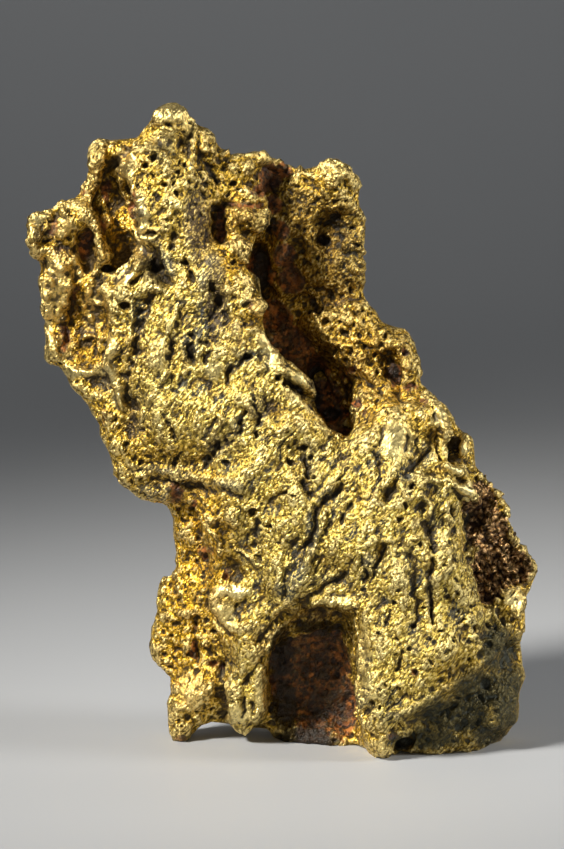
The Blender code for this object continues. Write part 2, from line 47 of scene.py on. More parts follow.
# Slow swells and hollows on the sheet: (half width, height, path).
SWELLS = (
    (5.1, 1.6, ((-47, 252), (-42.5, 251))),
    (1.2, 1.3, ((-38, 253.5), (-34.5, 249.5), (-33.5, 244.5), (-34, 237.5), (-35, 230.5))),
    (2, 1.6, ((-64, 229.5), (-62.5, 234.5), (-57.5, 237.5), (-51, 238.5), (-46, 235), (-44, 229))),
    (1.8, 2.4, ((-58.5, 226.5), (-56.5, 220), (-54, 213), (-53.5, 206), (-54.5, 200), (-56.5, 194.5),
        (-61.5, 190), (-66.5, 186.5), (-69.5, 182.5))),
    (3.9, -2.6, ((-66, 231), (-67, 222), (-64, 212), (-62.5, 202.5), (-61.5, 196))),
    (1.6, -2.2, ((-60, 223.5), (-57, 216), (-55.5, 208.5))),
    (1.8, -2.4, ((-70.5, 219.5), (-69, 208), (-66.5, 199.5))),
    (1.8, -2.4, ((-59.5, 237.5), (-63.5, 233.5), (-67.5, 229), (-70.5, 222.5), (-72, 216.5))),
    (1.4, 1.3, ((-63, 225.5), (-62.5, 220))), (1.8, 1.5, ((-64, 212), (-60, 207.5), (-56, 205.5))),
    (1.4, 1.2, ((-68, 202.5), (-66.5, 196.5))), (3.5, 1.5, ((-72, 236.5), (-73.5, 229.5), (-75.5, 223.5))),
    (1.2, 1, ((-68.5, 236.5), (-70.5, 229.5), (-72, 224))),
    (2.6, 2.2, ((-87, 219.5), (-93, 214.5), (-96.5, 208.5), (-98, 202.5), (-95.5, 197.5), (-90.5, 197.5))),
    (2, -1.8, ((-94.5, 202), (-93, 201))), (1.8, -1.8, ((-88.5, 215), (-90, 208), (-91.5, 202.5))),
    (1.8, 1.4, ((-85.5, 216.5), (-78.5, 215.5), (-74, 211), (-71, 204.5), (-70, 197.5), (-72, 191.5))),
    (1.2, 1.2, ((-85.5, 216), (-84, 212), (-81.5, 209))),
    (2.8, -3.2, ((-77, 204), (-75.5, 198.5), (-75.5, 193))), (1.8, -1.8, ((-77, 193.5), (-77.5, 187.5))),
    (2, -1.6, ((-91, 197.5), (-86.5, 200), (-81, 198.5))), (4.3, 1.6, ((-87.5, 192), (-88, 186))),
    (1.8, 2, ((-92.5, 180.5), (-92.5, 171.5), (-90, 161), (-86, 153.5), (-80, 149.5), (-74, 150),
        (-70, 154), (-66.5, 158))), (3.9, -2.2, ((-73, 174), (-75, 165.5), (-77.5, 159))),
    (1.4, -1.6, ((-80.5, 190.5), (-81.5, 178.5), (-83, 171), (-84.5, 163))),
    (1.6, 1.7, ((-68, 182), (-66, 175), (-65, 167), (-66, 160.5), (-68.5, 154), (-66, 148), (-63.5, 141),
        (-61.5, 135.5))), (2.4, -1.4, ((-74.5, 148), (-71.5, 144))),
    (2.4, 1.2, ((-77, 142.5), (-74, 140.5))),
    (2.4, -3.4, ((-53, 198.5), (-50.5, 193.5), (-47, 188), (-45.5, 185))),
    (1.4, -2.2, ((-50.5, 193.5), (-55, 190), (-58, 186))),
    (2, 1.2, ((-69.5, 182.5), (-58, 180.5), (-51.5, 183.5), (-46, 182.5))),
    (2.8, 1.4, ((-44.5, 216), (-45.5, 206))), (3.9, -1.4, ((-32, 218), (-31, 204.5), (-32, 193.5))),
    (3.5, -1.5, ((-26, 177), (-27.5, 165))), (3.2, -1.2, ((-58.5, 136), (-58.5, 124.5))),
    (3.5, 1.4, ((-27, 152),)), (2.4, 1.2, ((-18, 158),)), (2.4, 1.3, ((-30.5, 161.5),)),
    (4.7, 1.4, ((-48, 157), (-52, 147))), (4.7, 1.2, ((-49, 136), (-52, 123))),
    (3.5, -1.2, ((-39, 171.5), (-41.5, 161))), (4.7, 1.2, ((-30.5, 140), (-34, 131))),
    (4.7, 1.3, ((-8, 115), (-16.5, 108))), (3.2, -1.3, ((-8, 140), (-4, 134.5))),
    (5.1, 1.4, ((1, 129), (-3, 121))), (5.1, 1.3, ((25, 131), (31, 123))),
    (4.7, 1.6, ((44.5, 127), (43.5, 118.5))), (5.1, 1.5, ((25, 91), (21, 80.5))),
    (4.3, 1.3, ((35.5, 99), (33.5, 89))), (4.7, 1.3, ((47, 70.5), (48.5, 54))),
    (3.9, 1.4, ((67, 68.5), (71.5, 58.5))), (5.5, 1.6, ((67, 38), (55, 25.5))),
    (4.7, 1.3, ((38.5, 42), (39, 21.5))), (3.5, -1.4, ((39.5, 78), (36, 66.5))),
    (2.8, -0.8, ((53, 74.5), (52.5, 62.5))), (3.5, -1.2, ((7, 111), (12, 103))),
    (1.6, 1.6, ((-22.5, 236), (-12.5, 236.5), (-5.5, 233.5), (3, 232), (7, 229))),
    (2.4, -3, ((-7.5, 229), (1.5, 230))), (3.5, -3, ((-8, 222),)),
    (1.4, -1.4, ((-22.5, 216.5), (-13, 215.5), (-4, 216.5))),
    (1.8, -3.8, ((-24.5, 215.5), (-24, 208), (-24, 202.5))), (2, 1.5, ((-20, 221), (-12.5, 221))),
    (3.9, 1.2, ((-14, 211.5), (-9.5, 208))), (3.9, 2.2, ((-18, 199), (-15.5, 197))),
    (2.8, 2.2, ((-16.5, 188), (-13.5, 182), (-10, 175))), (2, 1.8, ((-11, 167), (-6, 160), (-1.5, 153.5))),
    (1.6, 2.4, ((0.5, 150.5), (5, 148), (10, 145), (12.5, 142.5))),
    (1.3, -3.2, ((2.5, 146.5), (6.5, 143), (9.5, 141))),
    (1.6, 1.2, ((7, 138.5), (13, 132.5), (19, 126), (22, 123))),
    (2, 2.2, ((-8, 204), (-4.5, 197.5), (-2.5, 193), (-4, 187.5), (-0.5, 182.5), (3.5, 174))),
    (3.5, -2.5, ((-8, 196.5), (-7, 184.5))), (3.2, -2.2, ((8, 207), (7, 197))), (3.2, -2.6, ((3, 190),)),
    (5.1, -2.4, ((19.5, 208), (18, 202.5))), (3.5, -2, ((11.5, 177), (19.5, 181))),
    (2, 1.6, ((15.5, 232.5), (20.5, 232.5), (25, 228), (28, 223.5))),
    (1.2, 0.7, ((21.5, 224), (22.5, 220), (26.5, 218.5))), (2.8, 1.4, ((22.5, 216), (27, 214.5))),
    (0.9, 0.8, ((22, 198), (25.5, 199), (29, 199.5))), (0.9, 0.9, ((25, 195.5), (30.5, 194.5))),
    (0.9, 0.9, ((26, 191.5), (31, 190.5))), (0.9, 0.8, ((25, 188), (29.5, 186.5))),
    (1.6, 1.7, ((13.5, 172.5), (15, 168), (19, 164), (25, 160.5))),
    (1.4, 1.4, ((17, 175), (24.5, 176.5), (32, 177))), (3.2, 1.5, ((38.5, 163), (44.5, 160.5))),
    (3.2, -4, ((41, 156), (44, 149.5), (46, 142.5))), (1.6, 1.8, ((48, 163.5), (51.5, 158), (53, 149.5))),
    (3.2, 1.4, ((31.5, 152.5), (35.5, 149.5))), (3.5, 1.4, ((36.5, 138.5), (43.5, 134.5))),
    (3.2, -3, ((13.5, 152), (15.5, 145.5), (12, 139))), (2.4, 2.2, ((19, 150), (21, 142.5))),
    (2.4, -3, ((14, 137), (20.5, 132), (25, 133.5))), (3.2, 1.6, ((2.5, 169), (4, 162))),
    (3.2, 1.6, ((8.5, 159), (7, 155))), (1.6, 1.2, ((58, 137), (62, 134.5), (64, 129), (65, 123))),
    (1.6, -3.6, ((67, 125.5), (67.5, 120), (68.5, 115))), (1.2, 1, ((65, 113), (68, 110.5), (71.5, 110.5))),
    (1.3, -2, ((68.5, 107.5), (72.5, 107))), (1.6, 1, ((67, 107), (71, 104), (74.5, 101.5), (77, 99))),
    (2.4, -2.2, ((61.5, 125.5), (59.5, 120), (55.5, 116.5), (51, 112.5), (47, 108.5), (44.5, 104),
        (41.5, 100))), (1.1, -2, ((62.5, 123), (63, 116.5))), (3.5, -1.6, ((59, 113),)),
    (1.4, 1.4, ((59, 113),)), (3.2, -3.4, ((51, 105.5),)), (3.5, -3, ((50, 95.5),)),
    (1.2, 1.4, ((47.5, 108.5), (47, 104), (50, 100))), (1.2, 1.4, ((55, 105.5), (57.5, 107.5), (61, 107))),
    (1.2, 1.4, ((54.5, 100.5), (58, 97.5), (57.5, 93.5))),
    (1.6, -1.4, ((56.5, 90), (59.5, 85), (60.5, 79))),
    (1.2, -1.7, ((60, 74.5), (59, 66.5), (59.5, 58.5), (60.5, 49.5))),
    (3.2, -2.8, ((81, 98), (78.5, 91), (80, 83))), (2.4, -2, ((74.5, 95), (74.5, 85))),
    (1.6, 2.6, ((88.5, 62), (92.5, 62), (95, 57.5), (92, 54))),
    (1, 1.5, ((83.5, 53.5), (86.5, 47), (84.5, 40.5), (80, 41.5))), (1.2, 1.2, ((75, 51), (76, 43))),
    (5.1, -3.2, ((92.5, 37), (84, 22), (73, 14.5), (58.5, 7.5), (48, 2.5))),
    (1.6, 1.3, ((92, 52.5), (87, 41), (80, 32), (69, 24), (57.5, 17), (45.5, 10.5))),
    (2, 1, ((-56, 108.5), (-45, 110.5), (-32.5, 108), (-16.5, 104.5))),
    (2.8, -1.8, ((-48, 105.5), (-38.5, 104), (-32.5, 103))),
    (0.9, 1.6, ((-30, 93.5), (-27.5, 87.5), (-25.5, 82.5), (-24, 77.5))),
    (0.9, 1.3, ((-17.5, 80.5), (-13.5, 76.5), (-9, 73.5))), (3.5, -2, ((-20, 71.5), (-18.5, 69))),
    (2.8, 1.4, ((-24, 61.5), (-14.5, 61.5))), (3.2, 1.6, ((-26.5, 56.5), (-21.5, 49.5), (-16, 47.5))),
    (1, -1.3, ((-30, 56), (-25.5, 49.5), (-21, 43.5))), (2, -3, ((-34.5, 49.5), (-35, 45))),
    (1.8, -3, ((-34.5, 40.5), (-34, 34.5))), (4.3, 1.7, ((-42, 53.5), (-44, 46))), (3.5, 1.5, ((-43, 36),)),
    (3.9, 1.5, ((-36.5, 87), (-34, 80.5))), (1.6, -1.8, ((-8.5, 41.5), (-4, 47), (1.5, 52))),
    (1.2, -1.3, ((-13.5, 25), (-9.5, 31.5), (-4.5, 38))), (5.5, 1.8, ((-37, 24), (-36, 14.5))),
    (1.6, -2.4, ((-24.5, 32), (-25, 21.5), (-24, 10.5))), (3.5, 1.8, ((-20, 21.5), (-18.5, 11.5))),
    (3.2, 1.4, ((-9, 26.5), (-8, 17), (-11, 10.5))), (1, -1.6, ((-15, 18), (-15.5, 12))),
    (1, -1.4, ((-11, 16.5), (-12, 11.5))),
    (1.3, -1.3, ((24, 104), (18, 99.5), (14, 93.5), (12, 85), (9, 78.5), (6, 72), (2.5, 66.5), (0.5, 61))),
    (1.6, 1.4, ((17.5, 94), (15, 87), (12.5, 79.5), (9.5, 74))),
    (1.2, -1.4, ((7, 58), (15, 62), (23.5, 67.5))), (1.2, 1.4, ((7, 56), (17.5, 59.5), (25, 57), (30, 56))),
    (1.6, 1.4, ((28.5, 51), (30.5, 42), (31, 25.5), (30.5, 10.5))),
    (1.6, 1.4, ((-5.5, 38), (-3, 43.5), (1.5, 49.5), (7, 53.5))),
)

# Creases: (half width, depth, path).
GROOVES = (
    (1, 0.7, ((48.5, 127), (49, 122.5), (48, 117), (47, 112))),
    (1, 0.8, ((36, 120), (38.5, 114.5), (38.5, 108))),
    (1.2, 1.2, ((68, 95.5), (68, 87.5), (67.5, 80.5), (68.5, 74.5))),
    (1.4, 1.4, ((73, 100), (73, 91), (74, 82), (75.5, 74), (78.5, 64.5), (81.5, 57.5))),
    (1, 0.8, ((65, 72), (67.5, 68), (71, 65))), (1.2, 0.6, ((35, 124), (31, 120), (27, 117))),
    (1, 0.6, ((27.5, 120.5), (23, 116.5), (19, 111), (16, 105.5), (13.5, 101.5))),
    (0.9, 0.5, ((25.5, 112), (21.5, 105.5), (17.5, 100), (12, 95.5))),
    (1, 1.2, ((27.5, 97.5), (25.5, 94), (24.5, 89.5))),
    (1.2, 0.8, ((7, 79.5), (3.5, 72.5), (0.5, 65.5), (1, 58.5))),
    (2, 2, ((-15.5, 133.5), (-16.5, 128.5), (-19.5, 124.5), (-24, 121.5), (-28, 118.5), (-29.5, 115))),
    (1.8, 1.7, ((-27, 184.5), (-24.5, 178.5), (-22.5, 173), (-22, 170.5))),
    (1.6, 1.3, ((-12.5, 157), (-15.5, 154), (-19.5, 152), (-22, 147.5))),
    (1.6, 1.2, ((-30, 163), (-28, 159), (-30, 155))), (1.6, 2.4, ((-35.5, 165), (-36, 160), (-35.5, 154))),
    (1.6, 1.3, ((-43, 161.5), (-43.5, 156))), (1.6, 1.2, ((7, 120), (10.5, 112.5), (9, 106), (11.5, 100))),
    (1.2, 1.4, ((-5.5, 98), (0, 101.5), (4, 105.5))), (1.2, 1, ((-41, 118), (-42, 111))),
    (2, 1.7, ((-51.5, 178.5), (-54.5, 173), (-56.5, 169))),
    (1.8, 1.6, ((-57, 163.5), (-57.5, 159), (-60.5, 153), (-62, 148))),
    (1.4, 1.4, ((-61.5, 145), (-61, 141), (-59, 136))),
    (1.6, 0.7, ((-52, 108), (-41, 104.5), (-32.5, 103), (-23.5, 102.5), (-16, 100))),
    (1.2, 1.9, ((-38, 193.5), (-36, 190), (-35, 185.5))),
    (1.2, 1.2, ((-12, 141.5), (-10, 136.5), (-8, 132.5), (-9, 129))),
    (0.9, 1.1, ((-46.5, 133), (-44, 127), (-42, 122))),
    (0.9, 0.9, ((-26, 131), (-28.5, 126.5), (-31, 123))),
    (1.2, 1.5, ((-32.5, 236.5), (-29.5, 230.5), (-25.5, 225))),
    (1, 1.2, ((-35, 233.5), (-32, 228), (-28.5, 222.5))), (1.2, 1.2, ((-1, 61.5), (4, 58.5), (9, 56))),
    (1.2, 1.2, ((41, 80.5), (39, 74.5), (36.5, 68.5))), (1.2, 1.1, ((32, 74.5), (32.5, 67.5), (32, 60))),
    (1.2, 0.6, ((55, 58.5), (53.5, 52), (52, 47))), (1.2, 0.6, ((46, 62.5), (44, 56), (41.5, 49.5))),
    (1.2, 0.7, ((26, 74.5), (24.5, 69), (21.5, 64))), (1.2, 0.9, ((-10, 93), (-10.5, 87), (-11, 81.5))),
    (1, 0.9, ((76.5, 76.5), (79.5, 66.5), (87, 58.5))), (1, 0.9, ((79, 78.5), (83.5, 68), (91, 61))),
    (1, 0.9, ((83, 80.5), (88, 71.5), (94, 63))), (1, 0.8, ((74, 72), (76.5, 62.5), (82, 56))),
    (1, 0.8, ((87.5, 80.5), (92, 74), (96, 67.5))),
    (1.2, 1.5, ((14, 175), (20.5, 177), (27.5, 179), (33, 179.5))),
    (1.2, 1.2, ((26, 149.5), (31.5, 147), (37, 144), (42.5, 140.5))),
    (1.2, 1.2, ((65.5, 10.5), (72, 14.5), (79.5, 19))), (1, 1.2, ((-44, 246.5), (-39, 248))),
    (1, 1, ((-41.5, 204), (-43, 199))), (1, 0.5, ((19, 124), (14, 118.5), (10.5, 111))),
    (0.9, 0.4, ((31.5, 114.5), (28.5, 107), (25, 99))), (0.9, 0.4, ((40.5, 111), (37, 104), (33.5, 97))),
    (1.2, 1.1, ((36, 17), (33.5, 12))), (1, 0.9, ((48, 36), (45.5, 29))),
    (1, 0.5, ((42, 131), (38, 123), (38.5, 116))),
)

# Thin ridges: (half width, height, path).
RIDGES = (
    (1, 0.8, ((-33.5, 237.5), (-30, 231), (-26.5, 223.5))),
    (1, 0.7, ((-35.5, 234), (-33, 229), (-29.5, 222))),
    (1, 0.8, ((-30.5, 238), (-27, 232.5), (-23.5, 226.5))),
    (1.2, 1.1, ((-41.5, 175), (-44, 167), (-46.5, 161), (-48.5, 158))),
    (1.2, 1.1, ((-45, 149.5), (-48.5, 144), (-53.5, 136), (-56, 128))),
    (1.2, 1.2, ((-23, 132.5), (-27, 126.5), (-31, 122))),
    (1.2, 1, ((27, 57), (21.5, 58.5), (15, 58), (9.5, 56.5))),
    (1.2, 0.9, ((73.5, 51), (75, 44), (79, 39.5))), (1.2, 0.9, ((-37, 99), (-30.5, 93), (-26.5, 85))),
    (1.2, 0.9, ((-29.5, 68), (-27, 60), (-23, 53.5), (-19, 45))),
    (1, 0.7, ((-20, 21.5), (-17, 14.5), (-14.5, 8))), (0.9, 1.3, ((78, 79.5), (82.5, 73), (86.5, 66))),
    (0.9, 1.3, ((76.5, 74.5), (80.5, 66.5), (85.5, 58.5))),
    (0.9, 1.3, ((82.5, 80.5), (88, 74.5), (92.5, 68))), (0.9, 1.1, ((74.5, 72), (77.5, 62.5), (83.5, 55))),
    (0.9, 1.1, ((86, 80.5), (91, 74), (95.5, 66.5))), (1.2, 1, ((48, 111), (54, 108.5), (56, 104))),
    (1.2, 0.7, ((-16.5, 215), (-11.5, 209.5), (-8.5, 204))),
    (1.2, 1, ((-21, 208), (-18, 202.5), (-14, 198.5))),
    (1.2, 0.9, ((-30, 237.5), (-23.5, 236), (-16.5, 234))), (1.2, 0.5, ((33, 115), (27.5, 107), (23, 99))),
    (1.2, 0.5, ((29, 118.5), (23.5, 110), (19, 103))), (1.2, 0.7, ((51.5, 87), (50, 80.5), (48.5, 74.5))),
    (1.2, 0.5, ((43.5, 111), (39.5, 104), (35.5, 95.5))), (1.2, 0.9, ((65, 97), (66, 87), (66.5, 78.5))),
    (1.2, 0.8, ((-51.5, 175), (-53.5, 169))), (1.2, 0.8, ((-58.5, 178.5), (-59.5, 169), (-61, 159))),
)

# Round pits: (across, up, radius, depth).
PITS = (
    (-52.5, 231, 1.3, 2.2), (-49.5, 234, 2, 2.8), (-41, 229, 1.5, 2.4), (-51, 205, 2, 2.6),
    (-55.5, 213, 1.7, 2.4), (-48.5, 191.5, 2.4, 2.6), (-68, 190.5, 2.4, 3), (-61.5, 176.5, 2.2, 3),
    (-65, 175, 1, 1.2), (-59, 186, 1.3, 1.8), (-54.5, 232.5, 1, 1), (-56, 223.5, 1.3, 1.8),
    (-50, 227, 1.3, 1.4), (-46, 224, 1.7, 2), (-42.5, 224, 1.3, 1.8), (-41, 220.5, 1.3, 1.8),
    (-44.5, 222, 1, 1.2), (-52, 222.5, 1, 1), (-48.5, 237.5, 1, 1), (-38.5, 244, 1.3, 1.2),
    (-39.5, 233.5, 1, 1.2), (-35, 248, 1, 1.4), (-37, 231.5, 1.2, 1.4), (-35, 225, 1.7, 1.2),
    (-30, 223.5, 1.7, 1.6), (-90.5, 209.5, 1.3, 1.2), (-92.5, 212.5, 1.3, 1.2), (-82.5, 212, 1.3, 1),
    (-82, 202.5, 1.7, 1.4), (-71.5, 225.5, 1.3, 1.8), (-66, 225, 1.3, 1.6), (-19.5, 150, 1.3, 1.3),
    (-13.5, 156, 1.8, 2.4), (-57, 135, 1.3, 1.2), (-61.5, 120.5, 1.7, 2), (-55.5, 114, 1.7, 1.8),
    (-52, 128, 1.3, 1.4), (-22, 113.5, 1.7, 2.4), (-10, 125, 1.5, 2.2), (8.5, 120, 2, 2.4),
    (10, 110, 1.5, 2.4), (12.5, 108, 1.3, 2.4), (12, 116, 1.5, 2), (2.5, 114.5, 1.7, 1.6), (-42, 105, 2, 2),
    (-39, 107, 1.3, 1.6), (-11.5, 94, 1.8, 2.8), (-5.5, 88, 1.8, 2.8), (-9, 74.5, 1.8, 2.8),
    (-5, 85, 1, 1.4), (-1, 81.5, 1, 1.2), (4.5, 100.5, 1, 1), (4, 114.5, 1.3, 1.4), (52, 104.5, 1.8, 2.2),
    (48.5, 96.5, 1.7, 1.6), (61.5, 123, 1.3, 2), (47, 91, 1.7, 1.8), (53.5, 109.5, 1, 1),
    (58.5, 79.5, 1.3, 1.4), (29, 138.5, 2.4, 3.2), (28, 151.5, 1.5, 2.4), (33, 134.5, 1.5, 2),
    (17, 170.5, 2, 3.4), (28.5, 173.5, 1.7, 2.4), (24.5, 165.5, 2, 2.6), (26.5, 158, 1.5, 2),
    (20, 158.5, 1.7, 2.2), (33, 161, 1.3, 1.8), (31.5, 175, 1.3, 1.6), (40.5, 164.5, 1.3, 1.8),
    (35.5, 156, 1.2, 1.6), (42.5, 154, 1.7, 2), (44, 148, 2, 2.4), (47.5, 158, 1.8, 2.4),
    (51, 145.5, 1.7, 2.4), (30.5, 144.5, 1.5, 2), (25, 156, 1.2, 1.4), (37.5, 150, 1, 1.4),
    (38, 138.5, 1.2, 1.4), (41.5, 133.5, 1, 1.2), (34.5, 167, 1.2, 1.4), (27.5, 142.5, 1.2, 1.6),
    (22.5, 170, 1.2, 1.6), (30, 156.5, 1, 1.2), (27, 136, 1.3, 1.4), (7, 171, 1, 1.2), (12, 167, 1, 1.2),
    (21, 210.5, 2.3, 2), (17, 202, 2.3, 2.2), (23.5, 203, 1.7, 2), (27.5, 207, 1.5, 1.6),
    (7, 197.5, 1.5, 1.8), (8, 205.5, 1.3, 1.4), (14, 218, 1.3, 1), (20.5, 218, 1.3, 1.4),
    (28.5, 219.5, 1.3, 1.6), (24.5, 225.5, 1.3, 1.2), (19, 180.5, 2, 1.8), (12, 177, 2, 1.6),
    (23.5, 180.5, 1.3, 1.6), (28.5, 201, 1.2, 1.4), (14, 196, 1.3, 1.4), (26.5, 182.5, 1.3, 1.4),
    (10, 193.5, 1.3, 1.2), (-2.5, 229, 2, 1.6), (-9.5, 222, 1.7, 1.4), (-19.5, 224.5, 1.5, 2.2),
    (-16.5, 229, 1.2, 1.2), (-16.5, 222, 1.2, 1.4), (-10.5, 226.5, 1.3, 1.2), (-21, 219.5, 1.2, 1.4),
    (-15, 218, 1, 1.2), (3, 225.5, 1.3, 1.2), (-12.5, 208, 1.3, 1.2), (-18.5, 202.5, 1.3, 1.2),
    (-19.5, 193.5, 1.5, 2), (-14, 177, 1.2, 1.2), (-12.5, 179.5, 1, 1.2), (-14.5, 170, 1, 1.2),
    (-1.5, 148, 2, 2.6), (1, 145, 1.3, 2), (6.5, 144, 1.3, 1.6), (77, 47, 1.5, 2), (82.5, 47.5, 1.5, 1.8),
    (80, 40, 1.3, 1.4), (63, 45, 1.3, 1.4), (41.5, 48, 1.3, 1.6), (38.5, 45, 1.3, 1.4),
    (45, 56.5, 1.3, 1.6), (65.5, 60, 1.5, 1.6), (69.5, 61.5, 1.3, 1.6), (75, 56, 1.3, 1.6),
    (52.5, 47, 1.3, 1.2), (59, 42, 1, 1.2), (68, 42, 1, 1.2), (70, 53.5, 1.2, 1.4), (46.5, 42, 1, 1),
    (57, 55, 1.2, 1.2), (55, 80.5, 1.3, 1.2), (32.5, 42, 1, 1.2), (36, 33.5, 1.2, 1.4), (53, 29, 1.3, 2),
    (59, 33, 1, 1.2), (45, 36, 1, 1.2), (47, 21.5, 1.2, 1.2), (38.5, 22, 1, 1.2), (35.5, 16.5, 1.5, 1.4),
    (38.5, 14, 1.3, 1.4), (41, 24, 1, 1.2), (65.5, 38, 1.2, 1.2), (75, 33.5, 1, 1.2), (63, 25.5, 1, 1.2),
    (33.5, 21.5, 1.2, 1.2), (51, 38, 1.2, 1.2), (-31, 50, 1.3, 1.8), (-27.5, 45, 1.7, 2.4),
    (-41.5, 48, 1.7, 1.4), (-28, 32, 1.7, 2), (-24, 31.5, 1.3, 1.8), (-42.5, 38, 1.7, 1.6),
    (-44.5, 43.5, 1.3, 1.6), (-40.5, 58.5, 1.7, 1.4), (-36.5, 64.5, 1.3, 1.2), (-30, 76.5, 2, 1.8),
    (-34, 74.5, 1.3, 1.6), (-24.5, 80.5, 1.3, 1.4), (-39.5, 91, 1.3, 1.2), (-35.5, 96, 1.8, 1.8),
    (-41, 95, 1.3, 1.2), (-32.5, 83, 1.3, 1.4), (-38, 68.5, 1.3, 1.4), (-21.5, 38.5, 1.3, 1.6),
    (-26.5, 36, 1.3, 1.4), (-22.5, 67.5, 1.7, 1.8), (-18.5, 56, 1.3, 1.6), (-45.5, 58.5, 1.3, 1.2),
    (-39.5, 74.5, 1.3, 1.2), (-37, 36, 1.3, 1.6), (-33, 21.5, 1.2, 1), (-27, 21.5, 1.7, 1.4),
    (-17, 17, 1.2, 1.2), (-41, 9, 1.3, 1.2), (-31, 15, 1.2, 1), (-28, 13, 1.2, 1.2), (-1, 38, 1.7, 1.6),
    (3, 42, 1.7, 1.6), (1, 33, 1.7, 1.6), (7, 33.5, 1.3, 1), (17, 21.5, 1.3, 1), (7, 17, 1.7, 1.2),
    (14.5, 9, 1.7, 1.4), (23.5, 11, 1.3, 1), (71.5, 17, 1.3, 1.4), (76, 12, 1.3, 1.8), (81, 17, 1.3, 1.6),
    (68, 10, 1.7, 2), (74, 7.5, 1.7, 1.8), (63.5, 4, 1.3, 1.4), (83.5, 21.5, 1.3, 1.2),
    (59.5, 0.5, 1.3, 1.4), (78.5, 8, 1.7, 2), (86, 12, 1.3, 1.4), (44.5, 2.5, 2.4, 2.6), (49, 5, 1.3, 1.6),
)

